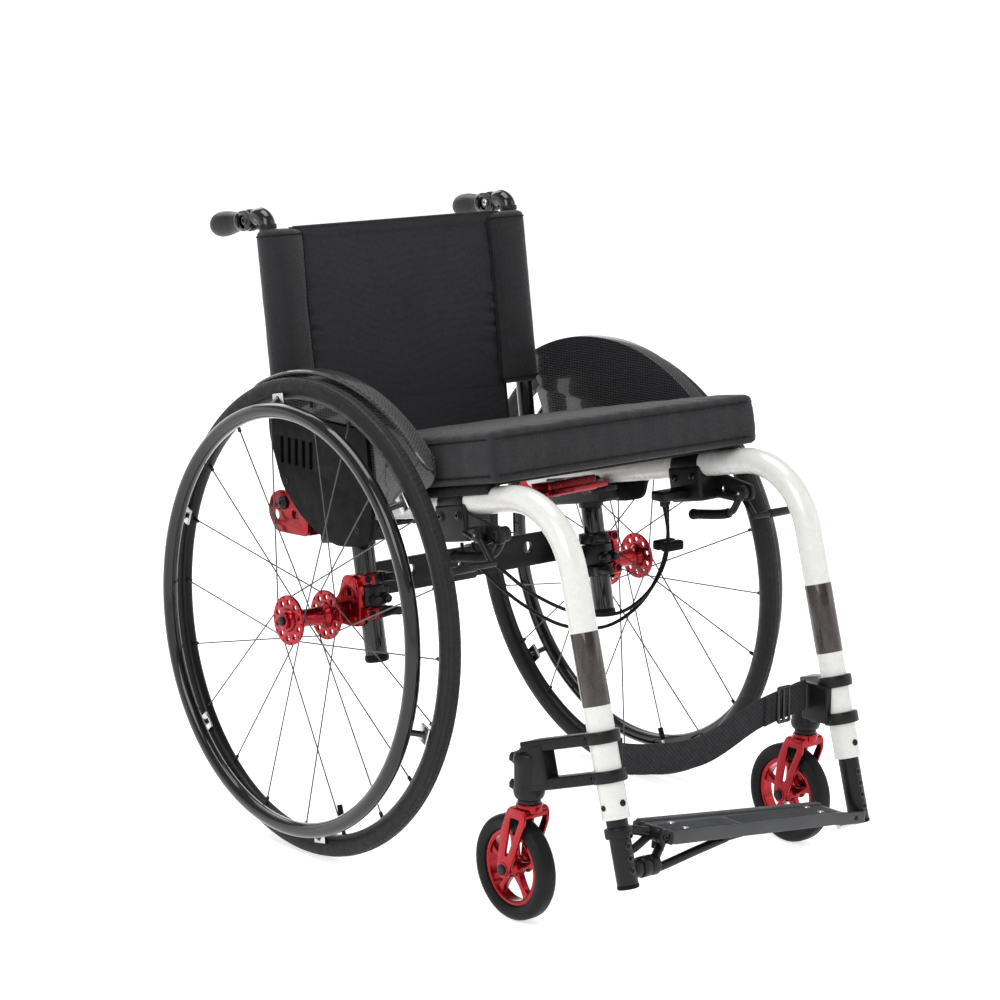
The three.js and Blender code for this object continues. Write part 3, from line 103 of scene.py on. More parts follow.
def rail_z(y):
    return BEND_Z - math.tan(SLOPE) * (y - BEND_Y)


def leg_y(z):
    return LEG_Y + math.tan(LEAN) * (z - LEG_Z)


def post_y(z):
    return POST_Y + math.tan(SLOPE) * (z - POST_END)


def shift(x, y, z):
    return Matrix.Translation((x, y, z))


def turn(angle, axis):
    return Matrix.Rotation(angle, 4, axis)


def seat_frame(x, y):
    return shift(x, y, rail_z(y)) @ turn(-SLOPE, "X")


def leg_frame(x, z):
    return shift(x, leg_y(z), z) @ turn(-LEAN, "X")


def post_frame(z):
    return shift(POST_X, post_y(z), z) @ turn(-SLOPE, "X")


def cane_frame(x):
    return shift(x, HINGE_Y, HINGE_Z) @ turn(-RECLINE, "X")


WHEEL = shift(WHEEL_X, 0, AXLE_Z) @ turn(-CAMBER, "Y")
CASTOR = shift(CASTOR_X, CASTOR_Y, CASTOR_R)
PLATE = shift(-FLIP_X, 0, FLIP_Z) @ turn(PLATE_TILT, "Y")
UPRIGHT = turn(-math.pi / 2, "Y")  # turns the X axis to +Z
SIDEWAYS = Matrix(((0, 0, 1, 0), (1, 0, 0, 0), (0, 1, 0, 0), (0, 0, 0, 1)))

# ---------------------------------------------------------- modelling tools


def deselect():
    bpy.ops.object.select_all(action="DESELECT")


def pick(obj):
    deselect()
    obj.select_set(True)
    bpy.context.view_layer.objects.active = obj
    return obj


def to_mesh(obj):
    pick(obj)
    bpy.ops.object.convert(target="MESH")
    return bpy.context.object


def tidy_mesh(obj, distance=0.001):
    pick(obj)
    bpy.ops.object.mode_set(mode="EDIT")
    bpy.ops.mesh.select_all(action="SELECT")
    bpy.ops.mesh.remove_doubles(threshold=distance)
    bpy.ops.mesh.normals_make_consistent(inside=False)
    bpy.ops.object.mode_set(mode="OBJECT")
    return obj


def modify(obj, kind, **values):
    """Adds a modifier and applies it."""
    pick(obj)
    made = obj.modifiers.new(kind.title(), kind)
    for key, value in values.items():
        setattr(made, key, value)
    bpy.ops.object.modifier_apply(modifier=made.name)
    return obj


def painted(obj, look):
    obj.data.materials.clear()
    obj.data.materials.append(look)
    return obj


def sweep(lines, radius, look, closed=False, rounds=6):
    """Round rods along one line of points, or along several."""
    if not isinstance(lines[0][0], (tuple, list, Vector)):
        lines = [lines]
    deselect()
    bpy.ops.curve.primitive_bezier_curve_add()
    obj = bpy.context.object
    curve = obj.data
    curve.splines.clear()
    for line in lines:
        spline = curve.splines.new("POLY")
        spline.points.add(len(line) - 1)
        for point, co in zip(spline.points, line):
            point.co = (*co, 1)
            point.radius = 1.0
        spline.use_cyclic_u = closed
    curve.dimensions = "3D"
    curve.bevel_depth = radius
    curve.bevel_resolution = rounds
    curve.use_fill_caps = not closed
    return painted(tidy_mesh(to_mesh(obj)), look)


def spin(profile, look, steps=72, matrix=None, span=(0, 360)):
    """A closed outline of (x, radius) turned about the X axis, from the +Z direction."""
    deselect()
    bpy.ops.mesh.primitive_circle_add(vertices=len(profile), fill_type="NOTHING")
    obj = bpy.context.object
    for vertex, (x, r) in zip(obj.data.vertices, profile):
        vertex.co = (x, 0, r)
    obj.data.transform(turn(math.radians(span[0]), "X"))
    bpy.ops.object.mode_set(mode="EDIT")
    bpy.ops.mesh.select_all(action="SELECT")
    angle = math.radians(span[1] - span[0])
    bpy.ops.mesh.spin(steps=steps, angle=-angle, center=(0, 0, 0), axis=(1, 0, 0))
    bpy.ops.mesh.select_all(action="SELECT")
    bpy.ops.mesh.remove_doubles(threshold=0.001)
    if span[1] - span[0] < 360:
        bpy.ops.mesh.select_all(action="DESELECT")
        bpy.ops.mesh.select_non_manifold()
        bpy.ops.mesh.edge_face_add()
        bpy.ops.mesh.select_all(action="SELECT")
    bpy.ops.mesh.normals_make_consistent(inside=False)
    bpy.ops.object.mode_set(mode="OBJECT")
    if matrix:
        obj.data.transform(matrix)
    return painted(obj, look)


def disc(x0, x1, radius, look, matrix, edge=0.8, steps=32, hole=0.0):
    """A round plate or rod along X with softened edges, and a hole through it if one is given."""
    edge = min(edge, (x1 - x0) / 2.2, (radius - hole) / 2.2)
    low = hole if hole else 0.05
    profile = [(x0, low), (x0, radius - edge), (x0 + edge * 0.3, radius - edge * 0.3),
               (x0 + edge, radius),
               (x1 - edge, radius), (x1 - edge * 0.3, radius - edge * 0.3), (x1, radius - edge),
               (x1, low)]
    return spin(profile, look, steps, matrix)


def along(a, b):
    """The place whose X axis runs from a towards b."""
    a, b = Vector(a), Vector(b)
    return Matrix.Translation(a) @ (b - a).to_track_quat("X", "Z").to_matrix().to_4x4()


def rod(a, b, radius, look, edge=0.8, steps=32, matrix=None):
    place = along(a, b)
    length = (Vector(b) - Vector(a)).length
    return disc(0, length, radius, look, (matrix @ place) if matrix else place, edge, steps)


def screw(at, direction, radius, look, height=4.0, matrix=None):
    """A button-head screw with a socket in its face."""
    place = along(at, Vector(at) + Vector(direction))
    r, h = radius, height
    profile = [(-2, 0.05), (-2, r * 0.98), (h * 0.35, r), (h * 0.8, r * 0.86), (h, r * 0.62),
               (h, r * 0.46),
               (h * 0.4, r * 0.42), (h * 0.4, 0.05)]
    return spin(profile, look, 24, (matrix @ place) if matrix else place)


def block(size, centre, look, edge=1.2, matrix=None, segments=3):
    deselect()
    bpy.ops.mesh.primitive_cube_add(size=1)
    obj = bpy.context.object
    obj.data.transform(Matrix.Diagonal((*size, 1)))
    modify(obj, "BEVEL", width=edge, segments=segments, limit_method="NONE")
    obj.data.transform((matrix @ shift(*centre)) if matrix else shift(*centre))
    return painted(obj, look)


def plate(outline, thickness, look, matrix, holes=(), edge=0.6):
    """A flat plate with softened edges from an outline in its own X-Y plane."""
    deselect()
    bpy.ops.curve.primitive_bezier_circle_add()
    obj = bpy.context.object
    curve = obj.data
    curve.splines.clear()
    for loop in (outline, *holes):
        spline = curve.splines.new("POLY")
        spline.points.add(len(loop) - 1)
        for point, co in zip(spline.points, loop):
            point.co = (*co, 0, 1)
        spline.use_cyclic_u = True
    curve.dimensions = "2D"
    curve.fill_mode = "BOTH"
    curve.extrude = thickness / 2 - edge
    curve.bevel_depth = edge
    curve.bevel_resolution = 2
    curve.offset = -edge
    obj = tidy_mesh(to_mesh(obj), 0.01)
    obj.data.transform(matrix)
    return painted(obj, look)


def softened(points, radius, steps=4):
    """The same outline with each corner rounded."""
    result = []
    count = len(points)
    for i, point in enumerate(points):
        here = Vector(point)
        before, after = Vector(points[i - 1]) - here, Vector(points[(i + 1) % count]) - here
        reach = min(radius, before.length * 0.45, after.length * 0.45)
        a, b = here + before.normalized() * reach, here + after.normalized() * reach
        for k in range(steps + 1):
            t = k / steps
            result.append(tuple(a * (1 - t) ** 2 + here * 2 * t * (1 - t) + b * t * t))
    return result


def circle(centre, radius, steps=20):
    return [(centre[0] + radius * math.cos(2 * math.pi * i / steps),
             centre[1] + radius * math.sin(2 * math.pi * i / steps)) for i in range(steps)]


def flowing(points, steps):
    """An even, smooth line through a few points."""
    points = [Vector(p) for p in points]
    padded = [points[0] * 2 - points[1], *points, points[-1] * 2 - points[-2]]
    dense = []
    for i in range(1, len(padded) - 2):
        p0, p1, p2, p3 = padded[i - 1:i + 3]
        t0 = 0.0
        t1 = t0 + (p1 - p0).length ** 0.5
        t2 = t1 + (p2 - p1).length ** 0.5
        t3 = t2 + (p3 - p2).length ** 0.5
        for k in range(24):
            t = t1 + (t2 - t1) * k / 24
            a1 = p0 * ((t1 - t) / (t1 - t0)) + p1 * ((t - t0) / (t1 - t0))
            a2 = p1 * ((t2 - t) / (t2 - t1)) + p2 * ((t - t1) / (t2 - t1))
            a3 = p2 * ((t3 - t) / (t3 - t2)) + p3 * ((t - t2) / (t3 - t2))
            b1 = a1 * ((t2 - t) / (t2 - t0)) + a2 * ((t - t0) / (t2 - t0))
            b2 = a2 * ((t3 - t) / (t3 - t1)) + a3 * ((t - t1) / (t3 - t1))
            dense.append(b1 * ((t2 - t) / (t2 - t1)) + b2 * ((t - t1) / (t2 - t1)))
    dense.append(points[-1])
    return evenly(dense, steps)


def evenly(points, steps):
    points = [Vector(p) for p in points]
    travelled = [0.0]
    for a, b in zip(points, points[1:]):
        travelled.append(travelled[-1] + (b - a).length)
    result, i = [], 0
    for k in range(steps + 1):
        goal = travelled[-1] * k / steps
        while i < len(points) - 2 and travelled[i + 1] < goal:
            i += 1
        span = travelled[i + 1] - travelled[i] or 1.0
        result.append(points[i].lerp(points[i + 1], min(max((goal - travelled[i]) / span, 0), 1)))
    return result


def arc(centre, radius, start, end, steps):
    """Points (y, z) of an arc, its angles in degrees from +Y towards +Z."""
    result = []
    for i in range(steps + 1):
        angle = math.radians(start + (end - start) * i / steps)
        result.append((centre[0] + radius * math.cos(angle), centre[1] + radius * math.sin(angle)))
    return result


def moved(parts, place):
    for part in parts:
        part.data.transform(place)
    return parts


def joined(parts):
    deselect()
    for part in parts:
        part.select_set(True)
    bpy.context.view_layer.objects.active = parts[0]
    if len(parts) > 1:
        bpy.ops.object.join()
    return bpy.context.view_layer.objects.active


def place_piece(obj, name, body, stands_for, angle):
    obj.name = name
    obj.data.name = name
    if angle:
        pick(obj)
        bpy.ops.object.shade_smooth_by_angle(angle=math.radians(angle))
    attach(obj, body)
    if stands_for:
        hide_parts(*stands_for)
    return obj


def single(name, parts, body, stands_for=(), angle=32):
    obj = joined(parts)
    obj.data.transform(TO_ROW)
    return place_piece(obj, name, body, stands_for, angle)


def mirrored(obj):
    """Turns a left piece into a right one."""
    obj.data.transform(Matrix.Diagonal((-1, 1, 1, 1)))
    obj.data.flip_normals()
    return obj


def pair(name, parts, body, stands_for=(), angle=32):
    """The left piece and its mirrored copy. body holds {} where the side's name goes."""
    left = joined(parts)
    left.data.transform(TO_ROW)
    pick(left)
    bpy.ops.object.duplicate()
    right = mirrored(bpy.context.object)
    made = []
    for obj, side in ((left, "left"), (right, "right")):
        nodes = [f"{node}_{side}" for node in stands_for]
        made.append(place_piece(obj, f"{name}_{side}", body.format(side), nodes, angle))
    return made


def each_side(name, make, body, stands_for=(), angle=32):
    """Two pieces that differ. make gets the side's name and builds at the left."""
    made = []
    for side in ("left", "right"):
        obj = joined(make(side))
        obj.data.transform(TO_ROW)
        if side == "right":
            mirrored(obj)
        nodes = [f"{node}_{side}" for node in stands_for]
        made.append(place_piece(obj, f"{name}_{side}", body.format(side), nodes, angle))
    return made


# -------------------------------------------------------------- finishes


class Look:
    """A Principled surface with the procedural nodes that feed it."""

    def __init__(self, name, colour, roughness, metallic=0.0, coat=0.0, coat_roughness=0.05,
                 sheen=0.0, specular=0.5):
        self.material = bpy.data.materials.new(name)
        self.material.use_nodes = True
        self.material.diffuse_color = (*colour, 1)
        self.nodes = self.material.node_tree.nodes
        self.links = self.material.node_tree.links
        self.shader = self.nodes["Principled BSDF"]
        self.colour = colour
        values = {"Base Color": (*colour, 1), "Roughness": roughness, "Metallic": metallic,
                  "Coat Weight": coat,
                  "Coat Roughness": coat_roughness, "Sheen Weight": sheen,
                  "Specular IOR Level": specular}
        for key, value in values.items():
            self.shader.inputs[key].default_value = value
        self.space = self.nodes.new("ShaderNodeTexCoord").outputs["Object"]

    def node(self, kind, vector=None, **inputs):
        """A new node with its inputs set and its vector linked."""
        made = self.nodes.new("ShaderNode" + kind)
        for key, value in inputs.items():
            made.inputs[key].default_value = value
        if vector:
            self.links.new(vector, made.inputs["Vector"])
        return made

    def stretched(self, scale, place=(0, 0, 0), angle=(0, 0, 0)):
        made = self.node("Mapping", self.space, Scale=scale, Location=place, Rotation=angle)
        return made.outputs["Vector"]

    def noise(self, scale, detail=4, vector=None):
        made = self.node("TexNoise", vector or self.space, Scale=scale, Detail=detail)
        return made.outputs["Fac"]

    def wave(self, direction, scale, vector=None):
        made = self.node("TexWave", vector or self.space, Scale=scale)
        made.wave_type = "BANDS"
        made.bands_direction = direction
        return made.outputs["Fac"]

    def checker(self, scale, vector=None):
        return self.node("TexChecker", vector or self.space, Scale=scale).outputs["Fac"]

    def cells(self, scale, vector=None):
        return self.node("TexVoronoi", vector or self.space, Scale=scale).outputs["Distance"]

    def maths(self, kind, a, b):
        node = self.node("Math")
        node.operation = kind
        for socket, value in zip(node.inputs, (a, b)):
            if isinstance(value, (int, float)):
                socket.default_value = value
            else:
                self.links.new(value, socket)
        return node.outputs["Value"]

    def between(self, value, low, high, to_low, to_high):
        node = self.node("MapRange")
        for key, number in (("From Min", low), ("From Max", high), ("To Min", to_low),
                            ("To Max", to_high)):
            node.inputs[key].default_value = number
        self.links.new(value, node.inputs["Value"])
        return node.outputs["Result"]

    def tint(self, value, first, second):
        """Colours the surface between two colours."""
        node = self.node("Mix")
        node.data_type = "RGBA"
        first_colour, second_colour = [socket for socket in node.inputs if socket.type == "RGBA"]
        first_colour.default_value = (*first, 1)
        second_colour.default_value = (*second, 1)
        self.links.new(value, node.inputs["Factor"])
        mixed = [socket for socket in node.outputs if socket.type == "RGBA"][0]
        self.links.new(mixed, self.shader.inputs["Base Color"])

    def dull(self, value, low, high):
        self.links.new(self.between(value, 0.3, 0.7, low, high), self.shader.inputs["Roughness"])

    def bump(self, value, strength, distance=0.001):
        node = self.node("Bump", Strength=strength, Distance=distance)
        self.links.new(value, node.inputs["Height"])
        if self.shader.inputs["Normal"].is_linked:
            self.links.new(self.shader.inputs["Normal"].links[0].from_socket, node.inputs["Normal"])
        self.links.new(node.outputs["Normal"], self.shader.inputs["Normal"])


def shade(colour, share):
    return tuple(min(1.0, c * share) for c in colour)


def gloss_paint(name, colour, share=0.99):
    """Sprayed gloss paint with a faint orange peel and a trace of dirt."""
    look = Look(name, colour, 0.28, coat=0.6, coat_roughness=0.06)
    look.tint(look.between(look.noise(9), 0.35, 0.7, 0, 1), colour, shade(colour, share))
    look.dull(look.noise(60, 6), 0.26, 0.29)
    look.bump(look.noise(420, 2), 0.012, 0.0003)
    return look.material


def anodised(name, colour):
    """Coloured anodised metal, brushed by its machining."""
    look = Look(name, colour, 0.25, metallic=0.95, coat=0.3)
    look.tint(look.between(look.noise(26, 5), 0.3, 0.75, 0, 1), colour, shade(colour, 0.7))
    look.dull(look.noise(150, 5), 0.16, 0.32)
    look.bump(look.noise(700, 2, look.stretched((0.15, 1, 1))), 0.03, 0.0003)
    return look.material


def coated_metal(name, colour, low, high, grain=0.12, coat=0.12):
    """Black-coated metal with fine powder grain and rubbed patches."""
    look = Look(name, colour, (low + high) / 2, coat=coat, coat_roughness=low, specular=0.14)
    look.tint(look.between(look.noise(18, 6), 0.35, 0.75, 0, 1), colour, shade(colour, 1.4))
    look.dull(look.noise(90, 6), low, high)
    look.bump(look.noise(1500, 2), grain, 0.0003)
    return look.material


def moulded(name, colour, low, high, grain=0.25, size=900):
    """Moulded plastic or rubber with a spark-eroded grain."""
    look = Look(name, colour, (low + high) / 2, specular=0.09)
    look.tint(look.between(look.noise(14, 5), 0.3, 0.75, 0, 1), colour, shade(colour, 1.3))
    look.dull(look.noise(70, 5), low, high)
    look.bump(look.cells(size), grain, 0.0004)
    return look.material


def knurled(name, colour):
    """Rubber with a fine diamond pattern."""
    look = Look(name, colour, 0.5, specular=0.3)
    lines = look.maths("MULTIPLY", look.wave("DIAGONAL", 70),
                       look.wave("DIAGONAL", 70, vector=look.stretched((1, -1, 1))))
    look.tint(look.between(lines, 0.1, 0.6, 0, 1), shade(colour, 0.8), shade(colour, 1.3))
    look.dull(look.noise(60, 5), 0.36, 0.55)
    look.bump(lines, 0.2, 0.0004)
    return look.material


def woven(name, colour, light, pitch, slub=0.5, fuzz=0.04):
    """Cloth with crossing threads, uneven yarn and a soft sheen."""
    look = Look(name, colour, 0.7, sheen=fuzz, specular=0.2)
    scale = 0.314 / pitch
    threads = look.maths("ADD", look.wave("X", scale), look.wave("Y", scale))
    threads = look.maths("ADD", threads, look.wave("Z", scale))
    yarn = look.noise(260, 3)
    patches = look.noise(7, 5)
    value = look.maths("ADD", look.maths("MULTIPLY", look.between(threads, 0.6, 2.4, 0, 1), 0.35),
                       look.maths("ADD", look.maths("MULTIPLY", yarn, 0.25 * slub),
                                  look.maths("MULTIPLY", look.between(patches, 0.3, 0.7, 0, 1),
                                             0.5)))
    look.tint(value, colour, light)
    look.dull(yarn, 0.55, 0.8)
    look.bump(threads, 0.3, 0.0005)
    look.bump(look.noise(45, 4), 0.12, 0.002)
    return look.material


def webbing(name, colour, light):
    """Strap webbing with a diagonal twill."""
    look = Look(name, colour, 0.7, sheen=0.04, specular=0.3)
    ribs = look.wave("DIAGONAL", 110, vector=look.stretched((1, 0.3, 1)))
    look.tint(look.maths("MULTIPLY", ribs, look.between(look.noise(30), 0.3, 0.7, 0.6, 1)), colour,
              light)
    look.dull(look.noise(200, 3), 0.7, 0.9)
    look.bump(ribs, 0.45, 0.0007)
    return look.material


def carbon(name):
    """Carbon-fibre twill under clear gloss."""
    dark, light = (0.006, 0.006, 0.007), (0.034, 0.035, 0.037)
    look = Look(name, dark, 0.3, coat=0.6, coat_roughness=0.05, specular=0.25)
    tilted = look.stretched((1, 1, 1), (0.137, 0, 0), (math.radians(45), 0, 0))
    weave = look.checker(430, tilted)
    fibres = look.wave("Y", 480, vector=tilted)
    mixed = look.maths("ADD", look.maths("MULTIPLY", weave, 0.7),
                       look.maths("MULTIPLY", fibres, 0.3))
    look.tint(mixed, dark, light)
    look.dull(mixed, 0.22, 0.45)
    look.bump(weave, 0.08, 0.0003)
    return look.material


def sleeve_look(name):
    """Dark glossy sleeve with long streaks."""
    first, second = (0.014, 0.009, 0.009), (0.036, 0.024, 0.023)
    look = Look(name, first, 0.25, coat=0.5, specular=0.3)
    streaks = look.noise(160, 5, look.stretched((1, 1, 0.05)))
    look.tint(look.between(streaks, 0.38, 0.66, 0, 1), first, second)
    look.dull(look.noise(90, 4), 0.2, 0.35)
    look.bump(look.noise(800, 2), 0.05, 0.0003)
    return look.material


def tyre_look(name, centre, count, reach):
    """Tyre rubber. Fine sipes cross the tread and fade out on the side walls."""
    colour = (0.009, 0.009, 0.0095)
    look = Look(name, colour, 0.6, specular=0.18)
    place = look.stretched((1, 1, 1), tuple(-c for c in centre))
    split = look.node("SeparateXYZ", place)
    angle = look.maths("ARCTAN2", split.outputs["Z"], split.outputs["Y"])
    flat = look.maths("MULTIPLY", split.outputs["Z"], split.outputs["Z"])
    flat = look.maths("ADD", flat, look.maths("MULTIPLY", split.outputs["Y"], split.outputs["Y"]))
    radius = look.maths("SQRT", flat, 0)
    slant = look.maths("MULTIPLY", look.maths("ABSOLUTE", split.outputs["X"], 0), 260)
    sipes = look.maths("SINE", look.maths("ADD", look.maths("MULTIPLY", angle, count), slant), 0)
    crown = look.between(radius, reach - 0.006, reach - 0.002, 0, 1)
    pattern = look.maths("MULTIPLY", look.between(sipes, 0.2, 0.7, 0, 1), crown)
    worn = look.maths("ADD", look.maths("MULTIPLY", crown, 0.5),
                      look.maths("MULTIPLY", look.noise(30, 5), 0.6))
    look.tint(worn, colour, (0.016, 0.0155, 0.015))
    look.dull(look.noise(120, 4), 0.42, 0.66)
    look.bump(pattern, 0.5, 0.0008)
    look.bump(look.noise(900, 2), 0.12, 0.0004)
    return look.material


def bright_steel(name):
    look = Look(name, (0.62, 0.63, 0.64), 0.22, metallic=1.0)
    look.tint(look.noise(70, 4), (0.62, 0.63, 0.64), (0.42, 0.43, 0.44))
    look.dull(look.noise(200, 4), 0.16, 0.34)
    look.bump(look.noise(900, 2, look.stretched((1, 1, 0.1))), 0.06, 0.0003)
    return look.material


LOOKS = {}


def make_looks(colours):
    red = tuple(colours.red)
    white = tuple(colours.white)
    black = tuple(colours.black)
    cloth = tuple(colours.cloth)
    LOOKS.update({
        "white": gloss_paint("white_gloss_paint", white),
        "red": anodised("red_anodised_aluminium", red),
        "satin": coated_metal("black_satin_metal", shade(black, 0.75), 0.26, 0.44),
        "gloss": coated_metal("black_gloss_metal", shade(black, 0.7), 0.08, 0.16, 0.03, 0.6),
        "spoke": coated_metal("spoke_steel", (0.06, 0.06, 0.063), 0.2, 0.32),
        "plastic": moulded("black_moulded_plastic", shade(black, 0.4), 0.4, 0.6),
        "grip": knurled("grip_rubber", shade(black, 1.1)),
        "cable": moulded("cable_cover", shade(black, 0.6), 0.25, 0.4, 0.08, 600),
        "sleeve": sleeve_look("dark_leg_sleeve"),
        "carbon": carbon("carbon_weave"),
        "cloth": woven("black_seat_cloth", shade(cloth, 0.7), shade(cloth, 1.5), 0.0011, 0.5, 0.13),
        "panel": woven("black_back_cloth", shade(cloth, 0.9), shade(cloth, 2.0), 0.0014, 0.8),
        # The seam cord is darker than the cloth it is sewn from: painted shade of the seam crease.
        "piping": woven("seam_cord_painted_crease_shade", shade(cloth, 0.25), shade(cloth, 0.7), 0.0009, 0.5, 0.0),
        "webbing": webbing("black_strap_webbing", shade(cloth, 0.8), shade(cloth, 2.0)),
        "plate": moulded("grey_footplate", (0.056, 0.057, 0.061), 0.34, 0.5, 0.25, 700),
        "steel": bright_steel("bright_steel"),
    })
    centre = WHEEL.translation
    row = TO_ROW @ centre
    reach = WHEEL_R / 1000
    LOOKS["tyre_left"] = tyre_look("tyre_rubber_left", (row.x, row.y, row.z), 220, reach)
    LOOKS["tyre_right"] = tyre_look("tyre_rubber_right", (-row.x, row.y, row.z), 220, reach)
    LOOKS["castor_rubber"] = moulded("castor_rubber", (0.009, 0.009, 0.0095), 0.35, 0.55, 0.1, 500)


# ---------------------------------------------------------------- pieces


def frame_line():
    """The axis of the rail, the front bend and the leg, as (y, z)."""
    t, s = math.tan(LEAN), math.tan(SLOPE)
    k = LEG_Y - BEND_Y + t * (BEND_Z - LEG_Z)
    corner = Vector((BEND_Y + k / (1 + t * s), 0))
    corner.y = rail_z(corner.x)
    forward = Vector((-math.cos(SLOPE), math.sin(SLOPE)))
    down = Vector((-math.sin(LEAN), -math.cos(LEAN)))
    swing = math.acos(forward.dot(down))
    reach = BEND_R * math.tan(swing / 2)
    start = corner - forward * reach
    centre = start + Vector((-forward.y, forward.x)) * BEND_R
    first = math.degrees(math.atan2(start.y - centre.y, start.x - centre.x))
    bend = arc(centre, BEND_R, first, first + math.degrees(swing), 28)
    return [(97, rail_z(97)), *bend, (leg_y(LEG_END), LEG_END)]


def frame_tubes():
    """The bent tubes of both sides, with the lip and screws at the lower end."""
    white, satin = LOOKS["white"], LOOKS["satin"]
    parts = [
        sweep([(RAIL_X, y, z) for y, z in frame_line()], TUBE_R, white, rounds=12),
        disc(-1, 4, TUBE_R + 0.3, white, leg_frame(RAIL_X, 147) @ UPRIGHT, 0.8, 48, 13),
        screw((RAIL_X, leg_y(167) - 16.4, 167), (0, -1, 0.27), 4.0, satin, 1.4),
        screw((RAIL_X + 16, leg_y(160), 160), (1, 0, 0), 3.4, satin, 1.2),
    ]
    pair("frame_tube_shape", parts, "{}_frame", ["frame_tube"])


def leg_sleeves():
    """The dark glossy sleeves near the top of the front legs."""
    place = leg_frame(RAIL_X, 351 - 42 * math.cos(LEAN)) @ UPRIGHT
    sleeve = disc(-42, 42, TUBE_R + 0.35, LOOKS["sleeve"], place, 0.5, 56, TUBE_R - 1)
    pair("leg_sleeve_shape", [sleeve], "{}_frame", ["leg_inset"])


def rear_posts():
    """The rear posts, their heads under the rails and the pins of the folding links."""
    satin, plastic, steel = LOOKS["satin"], LOOKS["plastic"], LOOKS["steel"]
    length = (rail_z(POST_Y) - POST_END) * math.cos(SLOPE)
    foot = post_frame(POST_END) @ UPRIGHT
    head = seat_frame(RAIL_X, -34 + math.tan(SLOPE) * length)
    links = seat_frame(0, LINK_Y)
    parts = [
        disc(1, length - 18, POST_R + 0.15, LOOKS["gloss"], foot, 0.6, 40),
        disc(-7, 4, POST_R + 1.2, plastic, foot, 3.5, 40),
        disc(length - 46, length - 22, POST_R + 2.6, satin, foot, 1.4, 40),
        block((34, 110, 37), (0, 0, -21.5), satin, 4.0, head, 4),
        block((36.6, 30, 22), (0, -34, -18), satin, 3.0, head, 4),
        block((36.6, 30, 22), (0, 34, -18), satin, 3.0, head, 4),
        disc(-24.4, -18.8, 13.5, satin, links @ shift(LINK_X, 0, 0) @ UPRIGHT, 1.0, 32),
        block((22, 26, 5.6), (170, 0, -21.6), satin, 1.0, links),
        disc(-24.6, -8.2, 6.9, steel, links @ shift(LINK_X, 0, 0) @ UPRIGHT, 1.0, 24),
    ]
    for y in (-34, 34):
        parts.append(screw((17.8, y, -20), (1, 0, 0), 4.8, satin, 3.2, head))
        parts.append(screw((-17.8, y, -20), (-1, 0, 0), 4.8, satin, 3.2, head))
    pair("rear_post_shape", parts, "{}_frame", ["rear_post"])


def post_ring(z, half, radius, look, span=(0, 360)):
    """A ring round the post, or part of one. Its angle starts inside and turns forwards."""
    low, edge = POST_R + 0.2, 1.6
    profile = [(-half, low), (-half, radius - edge), (-half + 0.5, radius - 0.5),
               (-half + edge, radius),
               (half - edge, radius), (half - 0.5, radius - 0.5), (half, radius - edge),
               (half, low)]
    return spin(profile, look, 48, post_frame(z) @ UPRIGHT, span)


def axle_clamps():
    """The red clamps that hold the stub axles, with their clamp screws."""
    red, steel, satin = LOOKS["red"], LOOKS["steel"], LOOKS["satin"]
    low, y = AXLE_Z + 2, post_y(AXLE_Z)
    x0 = POST_X + POST_R + 3
    outline = softened([(y - 12, AXLE_Z - 11), (y + 22, AXLE_Z - 14), (18, AXLE_Z - 8),
                        (19, AXLE_Z + 8),
                        (y + 34, AXLE_Z + 22), (y + 24, AXLE_Z + 50), (y - 2, AXLE_Z + 52),
                        (y - 10, AXLE_Z + 34)], 8)
    holes = [circle((y + 12, AXLE_Z + 30), 5.2), circle((y + 6, AXLE_Z + 12), 3.6)]
    parts = [
        post_ring(low, 7.4, 21.8, red, (100, 330)), post_ring(low + 42, 7.4, 21.8, red, (100, 330)),
        post_ring(low, 7.2, 21.2, satin, (-30, 100)),
        post_ring(low + 42, 7.2, 21.2, satin, (-30, 100)),
        plate(outline, 8.6, red, shift(x0 + 4.5, 0, 0) @ SIDEWAYS, holes, 1.2),
        spin([(-52, 0.1), (-52, 13), (-50, 15), (-47, 15), (-34, 12), (-34, 0.1)], red, 40, WHEEL),
        disc(-40, 37, 5.8, steel, WHEEL, 1.0, 28),
        disc(-46, -33.6, 9.2, satin, WHEEL, 1.2, 6),
    ]
    for z in (low, low + 42):
        place = post_frame(z)
        parts.append(block((13, 13, 13.6), (15, -17, 0), red, 2.6, place))
        parts.append(screw((15, -23.5, 0), (0, -1, 0), 4.6, LOOKS["cable"], 1.2, place))
        parts.append(block((12, 12, 12.6), (-14, -17, 0), satin, 2.4, place))
        parts.append(disc(4, 34, 5.4, satin, place @ shift(-14, -8, 0) @ turn(-math.pi / 2, "Z"),
                          1.2, 28))
    pair("axle_clamp_shape", parts, "{}_frame", ["axle_clamp"])


